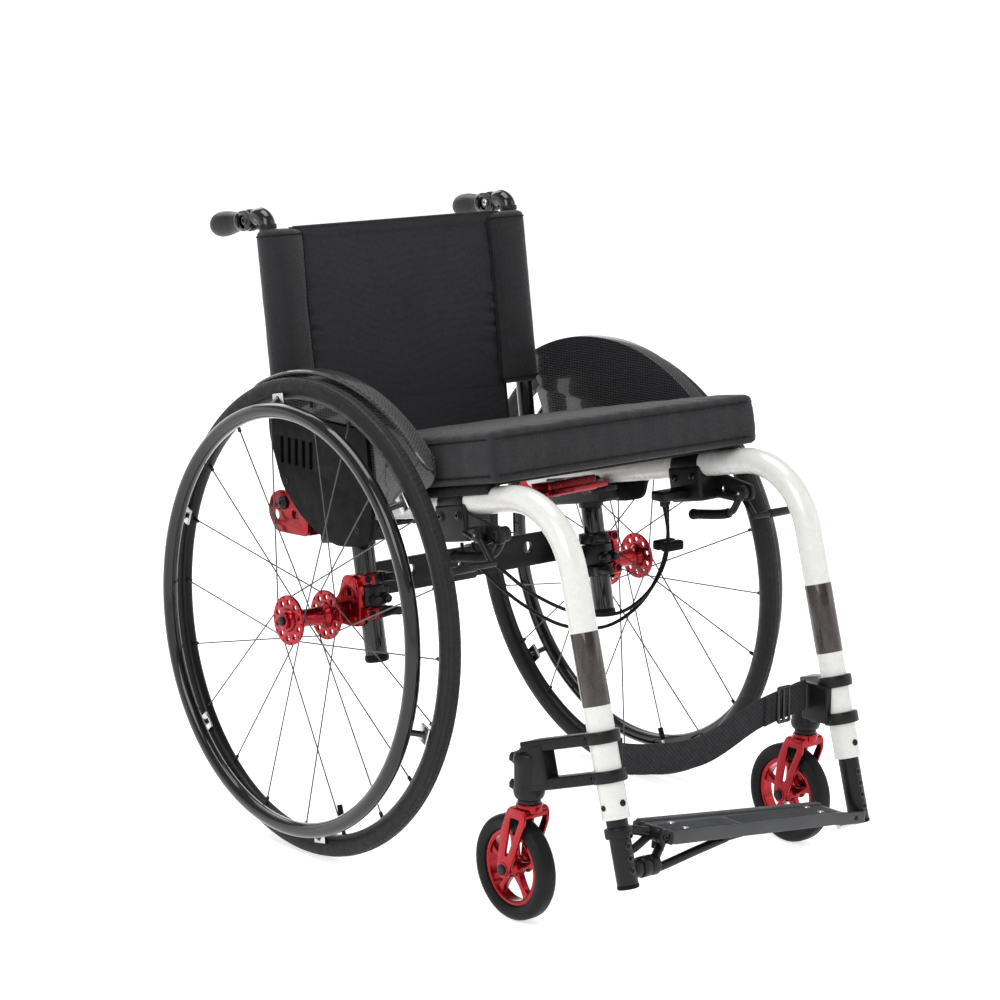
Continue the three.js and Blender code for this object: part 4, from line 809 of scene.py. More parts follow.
def bar_half(side):
    """Half of the rear cross bar, its ring round the post and its studs."""
    satin = LOOKS["satin"]
    middle, centre = AXLE_Z + 23, 330
    front = -3 if side == "right" else 5.6
    y = post_y(middle)
    low, high = centre - 21.5, centre + 21.5
    outline = softened([(-8, low), (160, low), (162.5, centre - 17), (162.5, centre + 17),
                        (158, high), (-2, high),
                        (-8, centre + 12)], 5)
    flat = Matrix(((1, 0, 0, 0), (0, 0, -1, front + 4), (0, 1, 0, 0), (0, 0, 0, 1)))
    holes = [circle((100, centre + 4), 7.6, 28), circle((20, centre), 3.2),
             circle((146, centre), 4)]
    parts = [plate(outline, 7.6, satin, flat, holes, 1.1), post_ring(middle, 12.8, 20.8, satin),
             block((30, front + 6 - y - 4, 15), (168, (y + front + 8) / 2 + 1, middle), satin, 2.4)]
    for x in (POST_X - 8, POST_X + 8):
        parts.append(rod((x, y - 12, middle), (x, y - 31, middle), 5.2, satin, 0.8, 24))
        parts.append(rod((x, y - 19, middle), (x, y - 25, middle), 7.2, satin, 0.8, 6))
    for z in (middle - 6.5, middle + 6.5):
        parts.append(screw((POST_X + 20, y + 2, z), (1, 0, 0), 3.4, satin, 2.2))
    return parts


def side_guards():
    """Carbon walls, each with a rolled lip over the tyre and a rounded tongue in front."""
    weave, satin = LOOKS["carbon"], LOOKS["satin"]
    top = arc((0, AXLE_Z), 305, math.degrees(math.acos(150 / 305)),
              math.degrees(math.acos(-207 / 305)), 40)
    lower = softened([(-211, 508), (-204, 490), (-187, 480), (-167, rail_z(-167) + 4),
                      (60, rail_z(60) + 4),
                      (84, rail_z(84) + 16), (132, AXLE_Z + 225)], 10)
    lip = [(217.7, 302.6), (217.7, 304), (218.6, 305), (222, 305.4), (233, 305.3), (237.6, 304.6),
           (239.4, 303),
           (239.6, 301), (238.7, 299.6), (237.4, 299.4), (236.8, 300.6), (236, 302), (232, 302.8),
           (222, 302.9)]
    rolled = spin(lip, weave, 90, None, (-29.5, 45.6))
    for vertex in rolled.data.vertices:
        angle = math.degrees(math.atan2(-vertex.co.y, vertex.co.z))
        for reach in (angle - 39.6, -23.5 - angle):
            if reach > 0:
                narrow = math.sqrt(max(0.0, 1 - (reach / 6.05) ** 2))
                vertex.co.x = 228.6 + (vertex.co.x - 228.6) * narrow
    rolled.data.transform(shift(0, 0, AXLE_Z))
    parts = [plate(top + lower[2:], 2.5, weave, shift(218.75, 0, 0) @ SIDEWAYS, (), 0.5), rolled]
    for y in (-150, 20):
        parts.append(block((12, 18, 9), (211, y, rail_z(y) + 5), satin, 1.6))
        parts.append(screw((220.2, y, rail_z(y) + 8), (1, 0, 0), 4.2, satin, 2.0))
    pair("side_guard_shape", parts, "{}_frame", ["side_guard"])


def side_covers():
    """The slotted black covers over the rails' rear ends."""
    look, satin = LOOKS["plastic"], LOOKS["satin"]
    outline = softened([(126, 538), (124, 505), (98, 445), (60, 412), (25, 396), (-15, 385),
                        (-50, 389), (-84, 398),
                        (-92, 430), (-80, 538)], 12, 6)
    slots = []
    for i in range(5):
        y = 96 - 15.5 * i
        slots.append(softened([(y - 3.6, 474), (y + 3.6, 474), (y + 3.6, 508), (y - 3.6, 508)],
                              3.4))
    parts = [
        plate(outline, 2.4, look, shift(221.5, 0, 0) @ SIDEWAYS, (), 0.5),
        plate(outline, 3.4, look, shift(224.3, 0, 0) @ SIDEWAYS, slots, 1.0),
    ]
    for y, z in ((88, 452), (-62, 412), (-66, 500)):
        parts.append(screw((225.6, y, z), (1, 0, 0), 4.6, satin, 1.8))
    pair("side_cover_shape", parts, "{}_frame", ["side_cover"])


def castor_arms():
    """The castings that carry the castors: bands, arms, wall and stem housing."""
    look = LOOKS["satin"]
    low, high = ARM_HEIGHTS
    foot = leg_frame(RAIL_X, low)
    reach = (leg_y(low) - STEM_Y) / math.cos(LEAN)
    pitch = (high - low) / math.cos(LEAN)
    side = CASTOR_X - RAIL_X
    arm = softened([(2, 8), (20, 4), (side + 13, -reach - 8), (side + 2, -reach - 16),
                    (side - 13, -reach - 12), (-4, 2)], 6)
    wall = softened([(side * 0.55, -reach * 0.62), (side * 0.55 + 22, -reach * 0.62),
                     (side + 12, -reach - 6),
                     (side - 12, -reach - 6)], 4)
    stem = shift(CASTOR_X, STEM_Y, STEM_Z) @ UPRIGHT
    housing = [(0, 0.1), (0, 14), (1, 16.4), (4, 17.8), (9, 18.6), (13, 17.6), (40, 17.6),
               (44, 18.6), (50, 18.2),
               (53.6, 16.4), (55, 13.6), (55, 11), (53.6, 10.4), (53.6, 0.1)]
    parts = [
        disc(-7, 7, 20.9, look, foot @ UPRIGHT, 1.8, 48, TUBE_R - 0.4),
        disc(-7, 7, 20.9, look, leg_frame(RAIL_X, high) @ UPRIGHT, 1.8, 48, TUBE_R - 0.4),
        plate(arm, 13.4, look, foot, (), 1.8),
        plate(arm, 13.4, look, foot @ shift(0, 0, pitch), (), 1.8),
        plate(wall, pitch, look, foot @ shift(0, 0, pitch / 2), (), 1.0),
        spin(housing, look, 48, stem),
        block((9, 42, 46), (RAIL_X - 19, leg_y(low) + 23, 210), look, 2.2),
    ]
    for z in (12, 44):
        at, out = Vector((CASTOR_X + 3, STEM_Y + 16, STEM_Z + z)), Vector((6, 17, 0)).normalized()
        place = along(at, at + out)
        parts.append(disc(-4, 5, 7.6, look, place, 1.0, 32))
        parts.append(disc(4, 9.4, 6.2, look, place, 0.9, 6))
    for z in ARM_HEIGHTS:
        parts.append(screw((RAIL_X + 19, leg_y(z) + 4, z), (1, 0.2, 0), 4.0, look, 3.0))
    pair("castor_arm_shape", parts, "{}_frame", ["castor_arm"])


def castor_forks():
    """Red forks with long windows in their legs, and a dark race under the housing."""
    red, satin, steel = LOOKS["red"], LOOKS["satin"], LOOKS["steel"]
    y, axle_y, r = STEM_Y, CASTOR_Y, CASTOR_R
    shoulder = r * 2 + 12
    outline = softened([(y - 13, shoulder + 4), (y - 14, shoulder - 12), (axle_y - 10, r - 4),
                        (axle_y - 4, r - 11),
                        (axle_y + 6, r - 10), (axle_y + 11, r), (axle_y + 4, shoulder - 28),
                        (y + 15, shoulder + 4)], 7, 5)
    window = softened([(y - 5, shoulder - 9), (axle_y - 8, r + 18), (axle_y - 3, r + 18),
                       (y + 11, shoulder - 9)], 3)
    parts = [
        plate(outline, 3.9, red, shift(CASTOR_X + 17.5, 0, 0) @ SIDEWAYS, [window], 1.0),
        plate(outline, 3.9, red, shift(CASTOR_X - 17.5, 0, 0) @ SIDEWAYS, [window], 1.0),
        block((39, 28, 12), (CASTOR_X, y + 1, shoulder - 2), red, 3.4, None, 4),
        disc(shoulder - 2, 146.5, 15.6, red, shift(CASTOR_X, y, 0) @ UPRIGHT, 2.0, 48),
        disc(146.2, 151.4, 13.6, satin, shift(CASTOR_X, y, 0) @ UPRIGHT, 0.8, 40),
        disc(-21.3, 21.3, 4.0, steel, CASTOR, 0.6, 24),
    ]
    for k in (-1, 1):
        place = CASTOR @ shift(19.4 * k, 0, 0) @ (turn(math.pi, "Z") if k < 0
                                                  else Matrix.Identity(4))
        parts.append(disc(-0.4, 3.6, 6.4, satin, place, 0.9, 32))
        parts.append(disc(-0.6, 1.0, 8.8, red, place, 0.5, 32))
    pair("castor_fork_shape", parts, "castor_fork_{}", ["castor_fork"])


def castor_wheels():
    """Five-spoke castor rims and their solid tyres."""
    red, steel = LOOKS["red"], LOOKS["steel"]
    felly = [(-7.6, 45.6), (-8.2, 44), (-8.2, 41.4), (-7, 39.8), (7, 39.8), (8.2, 41.4), (8.2, 44),
             (7.6, 45.6)]
    hub = [(-11, 4.6), (-11, 7.6), (-10, 8.6), (-7, 11.2), (7, 11.2), (10, 8.6), (11, 7.6),
           (11, 4.6)]
    parts = [spin(felly, red, 64, CASTOR), spin(hub, red, 40, CASTOR),
             disc(-11.4, 11.4, 7.2, steel, CASTOR, 0.5, 32)]
    web = softened([(8, -6.5), (16, -4.2), (30, -3.2), (38, -5.2), (42, -7.5), (42, 7.5), (38, 5.2),
                    (30, 3.2), (16, 4.2),
                    (8, 6.5)], 4)
    for i in range(5):
        spoke = turn(2 * math.pi * i / 5 + math.pi / 2, "X") @ SIDEWAYS
        parts.append(plate(web, 9.4, red, CASTOR @ spoke, (), 1.6))
    pair("castor_rim_shape", parts, "castor_wheel_{}", ["castor_rim"])
    r = CASTOR_R
    tyre = [(-7.2, 45.7), (-9.6, 46.4), (-11.6, 49), (-12.4, 53), (-12, 57), (-10.4, 60.2),
            (-7.6, 62.3), (-4, r - 0.1),
            (4, r - 0.1), (7.6, 62.3), (10.4, 60.2), (12, 57), (12.4, 53), (11.6, 49), (9.6, 46.4),
            (7.2, 45.7)]
    pair("castor_tyre_shape", [spin(tyre, LOOKS["castor_rubber"], 80, CASTOR)], "castor_wheel_{}",
         ["castor_tyre"])


def tyre_outline():
    """Half the tyre's section is worked out and mirrored: bead, wall, shoulder groove and crown."""
    middle = WHEEL_R - TYRE_R
    half = [(0, WHEEL_R), (2.4, WHEEL_R - 0.25), (2.9, WHEEL_R - 1.0), (3.7, WHEEL_R - 1.0),
            (4.2, WHEEL_R - 0.75)]
    for angle in (66, 60, 54):
        a = math.radians(angle)
        half.append((TYRE_R * math.cos(a), middle + TYRE_R * math.sin(a)))
    half += [(7.6, middle + 9.1), (8.4, middle + 8.4), (9.2, middle + 8.4)]
    for angle in (36, 20, 4, -12, -26, -36):
        a = math.radians(angle)
        half.append((TYRE_R * math.cos(a), middle + TYRE_R * math.sin(a)))
    half.append((6, 278.5))
    return half + [(-x, r) for x, r in reversed(half[1:])]


def rear_tyres():
    """Narrow rear tyres with grooved shoulders."""
    for side in ("left", "right"):
        obj = spin(tyre_outline(), LOOKS[f"tyre_{side}"], 144, WHEEL)
        obj.data.transform(TO_ROW)
        if side == "right":
            mirrored(obj)
        place_piece(obj, f"rear_tyre_shape_{side}", f"rear_wheel_{side}", [f"wheel_tyre_{side}"],
                    40)


def rear_rims(sizes):
    """Black rims with a nipple at each spoke and a valve."""
    look, steel = LOOKS["satin"], LOOKS["steel"]
    section = [(-10.4, 282.5), (-10.9, 281.5), (-10.9, 279), (-10.2, 276.5), (-8, 272.6),
               (-5.6, 270.4), (-3, 269.6),
               (3, 269.6), (5.6, 270.4), (8, 272.6), (10.2, 276.5), (10.9, 279), (10.9, 281.5),
               (10.4, 282.5), (8.6, 282.2),
               (6, 278), (-6, 278), (-8.6, 282.2)]
    parts = [spin(section, look, 144, WHEEL)]
    count = sizes.spoke_count
    for i in range(count):
        angle = 2 * math.pi * i / count
        nipple = turn(-angle, "X") @ shift((1.2 if i % 2 else -1.2), 0, 261) @ UPRIGHT
        parts.append(disc(0, 10, 2.3, look, WHEEL @ nipple, 0.5, 10))
    valve = WHEEL @ turn(math.radians(162), "X") @ shift(0, 0, 236) @ UPRIGHT
    parts.append(disc(0, 34, 2.4, steel, valve, 0.6, 16))
    parts.append(disc(-3, 14, 3.6, LOOKS["cable"], valve, 1.2, 16))
    pair("rear_rim_shape", parts, "rear_wheel_{}", ["wheel_rim"])


def spoke_lines(count):
    """The two ends of each spoke, in the wheel's own frame."""
    flange, nipple = 29.5, 268
    quarter = math.pi / 2
    lines = []
    for i in range(count):
        side = 1 if i % 2 else -1
        hand = 1 if i % 4 < 2 else -1
        angle = 2 * math.pi * i / count
        start = angle - hand * 2 * math.pi * 3 / count
        lines.append(((side * 25, flange * math.cos(start - quarter),
                       flange * math.sin(start - quarter)),
                      (side * 1.2, nipple * math.cos(angle - quarter),
                       nipple * math.sin(angle - quarter))))
    return lines


def rear_spokes(sizes):
    """Thin black spokes with bent elbows at the flanges."""
    lines = []
    for a, b in spoke_lines(sizes.spoke_count):
        a, b = Vector(a), Vector(b)
        inward = a + Vector((-3.6 if a.x > 0 else 3.6, 0, 0))
        lines.append([WHEEL @ p for p in (a + (a - inward) * 0.9, a + (a - inward) * 0.2,
                                          a.lerp(b, 0.01), b)])
    rods = sweep(lines, sizes.spoke_radius, LOOKS["spoke"], rounds=2)
    pair("rear_spokes_shape", [rods], "rear_wheel_{}", ["wheel_spokes"], 50)


def rear_hubs():
    """Red hubs with drilled flanges, a waisted barrel and dark end caps."""
    red, satin = LOOKS["red"], LOOKS["satin"]
    barrel = [(-33, 6.8), (-33, 13), (-31.5, 14.5), (-30, 15), (-30, 17), (-26, 17), (-23.5, 16),
              (-20, 13), (-15, 11.2),
              (15, 11.2), (20, 13), (23.5, 16), (26, 17), (30, 17), (30, 15), (32, 14.5), (34, 13),
              (34, 6.8)]
    parts = [spin(barrel, red, 56, WHEEL), disc(30.5, 38, 10.4, red, WHEEL, 1.6, 40),
             disc(37, 41.5, 6.0, satin, WHEEL, 1.2, 24)]
    holes = []
    for i in range(10):
        angle = 2 * math.pi * (i + 0.5) / 10
        holes.append(circle((22.6 * math.cos(angle), 22.6 * math.sin(angle)), 3.4, 14))
        tip = 2 * math.pi * i / 10
        holes.append(circle((28.4 * math.cos(tip), 28.4 * math.sin(tip)), 1.3, 8))
    rim = circle((0, 0), 31, 72)
    for x in (-28, 28):
        parts.append(plate(rim, 3.8, red, WHEEL @ shift(x, 0, 0) @ SIDEWAYS, holes, 0.6))
    pair("rear_hub_shape", parts, "rear_wheel_{}", ["wheel_hub"])


def hand_rings():
    """Black gloss hand rings on six short tabs."""
    gloss, steel = LOOKS["gloss"], LOOKS["steel"]
    ring = [(35 + 9.5 * math.cos(2 * math.pi * i / 24),
             258.5 + 9.5 * math.sin(2 * math.pi * i / 24)) for i in range(24)]
    parts = [spin(ring, gloss, 160, WHEEL)]
    for i in range(6):
        place = WHEEL @ turn(math.radians(49.5 + 60 * i), "X")
        line = flowing([(9.5, 0, 273.5), (14, 0, 270.5), (21, 0, 266), (28, 0, 262)], 10)
        parts.append(sweep([place @ p for p in line], 3.9, gloss, rounds=4))
        parts.append(block((3.2, 22, 17), (12.8, 0, 270), steel, 1.2, place))
        parts.append(screw((13.6, 0, 272), (1, 0, 0), 3.6, gloss, 2.0, place))
    pair("hand_ring_shape", parts, "rear_wheel_{}", ["handrim"])


def plate_bottom(x):
    """The height of the footplate's underside."""
    return FLIP_Z - 10 / math.cos(PLATE_TILT) - math.tan(PLATE_TILT) * (x + FLIP_X)


def foot_parts(side):
    """A foot tube with its height stops. The right one has the hinge, the left one a rest peg."""
    satin, steel, plastic = LOOKS["satin"], LOOKS["steel"], LOOKS["plastic"]
    foot = leg_frame(RAIL_X, 72)
    length = 74.3 / math.cos(LEAN)
    parts = [disc(0, length + 92, 12.4, satin, foot @ UPRIGHT, 1.0, 40),
             disc(-3, 2.5, 12.9, plastic, foot @ UPRIGHT, 1.6, 40)]
    for i in range(4):
        z = 17 + 14 * i
        front = foot @ shift(0, 0, z) @ turn(-math.pi / 2, "Z")
        # Each height stop is a gloss ring round a flat black disc that stands in for the hole: the
        # disc is painted shade.
        parts.append(disc(11.2, 12.75, 4.4, LOOKS["gloss"], front, 0.5, 24))
        parts.append(disc(12.4, 12.95, 2.8, LOOKS["cable"], front, 0.2, 20))
    if side == "left":
        z = plate_bottom(157) - 4.6
        parts.append(rod((RAIL_X - 6, leg_y(z + 2), z), (RAIL_X - 36, leg_y(z + 2), z), 3.9, steel,
                         0.8, 24))
        return parts
    y0 = leg_y(FLIP_Z)
    parts += [
        sweep(flowing([(RAIL_X - 4, leg_y(133), 133), (168, leg_y(129), 130), (146, y0, 124)], 12),
              5.6, satin),
        sweep(flowing([(RAIL_X - 4, leg_y(107), 107), (168, leg_y(111), 110), (146, y0, 118)], 12),
              4.8, satin),
        rod((FLIP_X, y0 - 15, FLIP_Z), (FLIP_X, y0 + 15, FLIP_Z), 8.4, satin, 1.4, 32),
        disc(-6, 6, 16.3, satin, leg_frame(RAIL_X, 131) @ UPRIGHT, 1.6, 40),
        rod((RAIL_X - 8, leg_y(88), 88), (RAIL_X - 22, leg_y(88), 88), 10.4, satin, 1.6, 40),
        rod((RAIL_X - 20, leg_y(88), 88), (RAIL_X - 32, leg_y(88), 88), 12.2, satin, 1.6, 40),
        screw((RAIL_X - 2, leg_y(131) - 15.6, 131), (0, -1, 0), 4.2, LOOKS["gloss"], 3.0),
    ]
    return parts


def footplates():
    """The grey plate with its ridge, seam, screws and rounded end, and the strut under it."""
    grey, satin, steel = LOOKS["plate"], LOOKS["satin"], LOOKS["steel"]
    front, rear = -524.5, -475.5
    outline = softened([(3, rear + 15), (3, rear + 1), (12, rear - 3), (12, front + 3), (16, front),
                        (276, front),
                        (290, front - 5), (321, front - 5), (326, front - 1), (325, front + 2),
                        (306, front + 2),
                        (292, front + 3), (292, rear)], 5, 5)
    parts = [
        plate(outline, 14.6, grey, PLATE @ shift(0, 0, -2.6), (), 2.2),
        plate(softened([(6, rear + 16), (8, rear + 6), (290, rear - 8), (290, rear + 3)], 3), 4.0,
              grey,
              PLATE @ shift(0, -3.4, 5.2), (), 1.2),
        block((4, 62, 11), (10.6, front + 33, -4.6), satin, 1.2, PLATE),
        plate(softened([(116, rear - 12), (116, front + 5), (120, front + 5), (120, rear - 12)], 1),
              1.2, satin,
              PLATE @ shift(0, 0, 4.6), (), 0.2),
    ]
    for i in range(9):
        y = rear - 13 - 3.4 * i
        for x0, x1 in ((126, 284), (18, 112)):
            rib = softened([(x0, y), (x0, y - 1.5), (x1, y - 1.5), (x1, y)], 0.7)
            parts.append(plate(rib, 1.4, grey, PLATE @ shift(0, 0, 4.9), (), 0.5))
    for x, y in ((40, -488), (40, -512), (262, -488), (262, -512)):
        parts.append(screw((x, y, 4.6), (0, 0, 1), 4.4, steel, 1.4, PLATE))
    parts.append(screw((306, front - 5, -2.4), (0, -1, 0), 3.2, satin, 1.2, PLATE))
    single("footplate_shape", parts, "footplate", ["footplate"])
    y0, y1 = leg_y(FLIP_Z), leg_y(88)
    foot_x = -(RAIL_X - 32) + 0.3
    under = plate_bottom(-26)
    parts = []
    for k in (-1, 1):
        a = y0 + k * 18.6
        parts.append(rod((0, a - 3, 0), (0, a + 3, 0), 8.4, satin, 1.0, 32, PLATE))
        parts.append(block((13, 6, 12), (5.4, a, -2), satin, 1.0, PLATE))
        parts.append(screw((0, a + 3 * k, 0), (0, k, 0), 4.0, satin, 2.4, PLATE))
    parts += [
        rod((0, y0 - 20, 0), (0, y0 + 20, 0), 2.9, steel, 0.5, 20, PLATE),
        block((3, 43, 14), (10.4, y0, -2.5), satin, 0.9, PLATE),
        rod((foot_x, y1, 88), (foot_x + 13, y1, 87), 12.0, satin, 2.2, 40),
        sweep(flowing([(foot_x + 8, y1, 82), (foot_x + 22, y1, 82.5), (-76, y1 + 3, 88),
                       (-26, y1 + 6, under - 5.4)], 20),
              5.2, satin),
        block((32, 18, 5), (-23, y1 + 4, under - 2.9), satin, 1.4),
        sweep([(-124, y0, 107), (foot_x + 10, y1, 91)], 5.4, satin),
        block((4, 18, 12), (9.8, y0, -14.6), satin, 1.0, PLATE),
        screw((-16, y1 + 4, under - 5.4), (0, 0, -1), 4.0, steel, 2.4),
    ]
    single("footplate_strut_shape", parts, "footplate", ["footplate_strut"])


def back_hinges():
    """The red fittings at the rails' rear ends, with a release lever on each."""
    red, steel, satin = LOOKS["red"], LOOKS["steel"], LOOKS["satin"]
    y, z = HINGE_Y, HINGE_Z
    outline = softened([(63, rail_z(63) - 31), (y + 20, z - 40), (y + 36, z - 18), (y + 30, z + 6),
                        (y + 10, z + 16),
                        (y - 12, z + 15), (63, rail_z(63) + 8)], 9, 5)
    inner, outer = CANE_X - 16.6, CANE_X + 11.6
    lighten = [circle((y + 18, z - 18), 6.4), circle((y - 22, z - 12), 5.2)]
    parts = [
        plate(outline, 7.6, red, shift(inner + 1, 0, 0) @ SIDEWAYS, lighten, 1.3),
        plate(outline, 4.8, red, shift(outer + 2.5, 0, 0) @ SIDEWAYS, lighten, 1.2),
        block((outer - inner + 2, 38, 12), ((inner + outer) / 2 + 1, y - 1, z - 32), red, 2.0),
        block((outer - inner + 2, 38, 6), ((inner + outer) / 2 + 1, y - 32, z - 33), red, 1.6),
        rod((inner - 5, y, z), (outer + 7, y, z), 4.9, steel, 0.8, 28),
        disc(outer + 5, outer + 8.4, 9.0, satin, shift(0, y, z), 1.2, 32),
        screw((outer + 8, y, z), (1, 0, 0), 5.0, satin, 2.6),
    ]
    lever = flowing([(inner - 3, y + 6, z - 22), (inner - 6, y + 16, z - 30),
                     (inner - 7, y + 30, z - 36)], 12)
    parts.append(sweep(lever, 3.4, satin))
    pair("back_hinge_shape", parts, "{}_frame", ["back_hinge"])


def back_canes():
    """The back canes with their bent necks and the cheeks that carry the handles."""
    gloss, satin = LOOKS["gloss"], LOOKS["satin"]
    place = cane_frame(CANE_X)
    top_y = HINGE_Y + math.sin(RECLINE) * CANE_LENGTH
    top_z = HINGE_Z + math.cos(RECLINE) * CANE_LENGTH
    line = [place @ Vector((0, 0, s)) for s in range(9, 330, 20)]
    line += flowing([place @ Vector((0, 0, 330)), (CANE_X, top_y - 0.8, top_z - 8),
                     (CANE_X, top_y + 3.4, top_z + 3),
                     (CANE_X, top_y + 14, top_z + 8.4), (CANE_X, 186, 773)], 22)
    parts = [
        sweep(line, CANE_R, gloss, rounds=8),
        disc(-10.8, 10.8, 12.2, satin, place, 1.4, 40, 5.2),
        disc(44, 60, 12.6, satin, place @ UPRIGHT, 1.2, 40, 10.6),
        disc(-4, 4, 14, satin, shift(CANE_X, GRIP_Y, GRIP_Z), 1.0, 40),
        block((8, 22, 16), (CANE_X, 190, 770), satin, 1.6),
        disc(345, 351, 11.6, satin, place @ UPRIGHT, 1.0, 36, 10.6),
    ]
    pair("back_cane_shape", parts, "back_{}", ["back_cane"])


def push_handles():
    """The bulb-shaped grips with their forks and pivot screws."""
    grip, gloss, steel = LOOKS["grip"], LOOKS["gloss"], LOOKS["steel"]
    x, y, z = CANE_X, GRIP_Y, GRIP_Z
    place = along((x, y + 17, z - 2), (x + 4.1, y + 90, z - 14.6))
    section = [(0, 0.1), (0, 10.6), (1.2, 12.0), (4, 12.6), (8, 12.4), (13, 12.6), (19, 13.6),
               (26, 14.8), (33, 15.7), (40, 16.1),
               (46, 15.9), (51, 14.8), (54.6, 12.9), (57, 10.2), (58.6, 6.6), (59.2, 3),
               (59.4, 0.1)]
    body = spin(section, grip, 56, place)
    parts = [body, rod((x - 9.4, y, z), (x + 9.4, y, z), 4, steel, 0.6, 24),
             screw((x + 9.2, y, z), (1, 0, 0), 5.6, gloss, 2.6),
             screw((x - 9.2, y, z), (-1, 0, 0), 4.6, steel, 2.6),
             disc(-0.2, 1.4, 7.2, gloss, shift(x - 9.3, y, z) @ turn(math.pi, "Z"), 0.5, 32),
             rod((x, y + 13, z - 1.6), (x, y + 21, z - 2.6), 13.4, gloss, 2.2, 40)]
    for k in (-1, 1):
        a = x + k * 7.1
        parts.append(rod((a - 2.4, y, z), (a + 2.4, y, z), 13, gloss, 1.0, 40))
        parts.append(block((4.8, 22, 20), (a, y + 10, z - 2), gloss, 1.6))
    pair("push_handle_shape", parts, "handle_{}", ["push_handle"], 40)


def folding_links():
    """The two flat links of the folding brace, half as thick where they meet."""
    red, steel, satin = LOOKS["red"], LOOKS["steel"], LOOKS["satin"]
    length = math.hypot(LINK_X, LINK_SKEW)
    half_turn = np.linspace(math.pi / 2, 3 * math.pi / 2, 13)

    def link(side):
        place = seat_frame(0, LINK_Y) @ shift(LINK_X, 0,
                                              -14) @ turn(math.pi + math.atan2(LINK_SKEW, LINK_X),
                                                          "Z")
        outline = [(14 * math.cos(a), 14 * math.sin(a)) for a in half_turn]
        near = [(length * 0.45, -20), (length - 37, -18.4)]
        far = [(length - 37, 18.4), (length * 0.45, 20)]
        thick = softened(outline + near + far, 2)
        end = [(length - 38, -18.4), (length - 20, -17.6)]
        end += [(length + 15.8 * math.cos(a), 15.8 * math.sin(a))
                for a in np.linspace(-math.pi / 2, math.pi / 2, 13)]
        end += [(length - 20, 17.6), (length - 38, 18.4)]
        lift = -2 if side == "right" else 2
        hole = [circle((0, 0), 7.4, 24)]
        rib = softened([(16, -13), (length - 44, -16), (length - 44, 16), (16, 13)], 6, 4)
        parts = [plate(thick, 7.8, red, place, hole, 1.2),
                 plate(rib, 19, red, place @ shift(0, 0, 4),
                       [circle((52, 0), 5.5, 20), circle((86, 0), 5.5, 20)], 1.6),
                 plate(end, 3.7, red, place @ shift(0, 0, lift), [circle((length, 0), 5.3, 20)],
                       0.6)]
        if side == "left":
            hinge = place @ shift(length, 0, 0) @ UPRIGHT
            parts += [disc(-6.4, 3.9, 5.0, steel, hinge, 0.6, 24),
                      disc(-9.8, -4.8, 7.8, steel, hinge, 1.0, 6),
                      block((62, 20, 5), (length - 6, 0, -11.6), satin, 1.4, place)]
        return parts

    each_side("folding_link_shape", link, "fold_link_{}", ["fold_link"])


def lock_mounts():
    """The clamps that hold the wheel locks under the rails."""
    satin, steel = LOOKS["satin"], LOOKS["steel"]

    def mount(side):
        y, py, pz = MOUNT_Y, LOCK_Y, LOCK_Z
        place = seat_frame(RAIL_X, y)
        arm = softened([(y - 20, rail_z(y) - 34), (y - 20, rail_z(y) - 4), (py - 8, pz + 10),
                        (py - 12, pz + 4),
                        (py - 11, pz - 9), (py + 6, pz - 12)], 6, 5)
        parts = [
            block((38, 58, 45), (0, 0, -23), satin, 4.4, place, 4),
            disc(-24, 24, 17.4, satin, place @ turn(math.pi / 2, "Z"), 1.4, 48, 16.2),
            plate(arm, 5.8, satin, shift(200, 0, 0) @ SIDEWAYS, [circle((py + 42, pz - 4), 5)],
                  1.2),
            block((9, 24, 24), (RAIL_X + 11, y - 17, rail_z(y) - 28), satin, 2.0),
            rod((184, py, pz), (202, py, pz), 3, steel, 0.5, 20),
            rod((200, SHOE_Y, SHOE_Z), (215.4, SHOE_Y, SHOE_Z), 3, steel, 0.5, 20),
            screw((202.8, py, pz), (1, 0, 0), 6.0, satin, 3.0),
            block((11, 46, 9), (196, py + 36, pz - 9), satin, 2.6),
            sweep(flowing([(205, py + 58, pz - 6), (206, py + 20, pz - 12), (205, py + 2, pz - 6)],
                          12), 2.6, LOOKS["gloss"]),
            rod((205, py + 44, pz - 2), (205, py + 14, pz + 4), 4.4, satin, 1.0, 24),
        ]
        for k in (-17, 17):
            for out in (1, -1):
                parts.append(screw((19 * out, k, -14), (out, 0, 0), 4.8, LOOKS["gloss"], 3.2,
                                   place))
            parts.append(disc(18.2, 20, 6.6, satin, place @ shift(0, k, -14), 0.6, 32))
        if side == "left":
            parts.append(block((44, 24, 12), (148, y, rail_z(y) - 34), satin, 2.4))
            for x, v in ((134, -217), (147, -211)):
                parts.append(disc(-1, 7, 4.2, satin, shift(x, v, rail_z(y) - 46) @ UPRIGHT, 1.0, 6))
        return parts

    each_side("lock_mount_shape", mount, "{}_frame", ["lock_mount"])


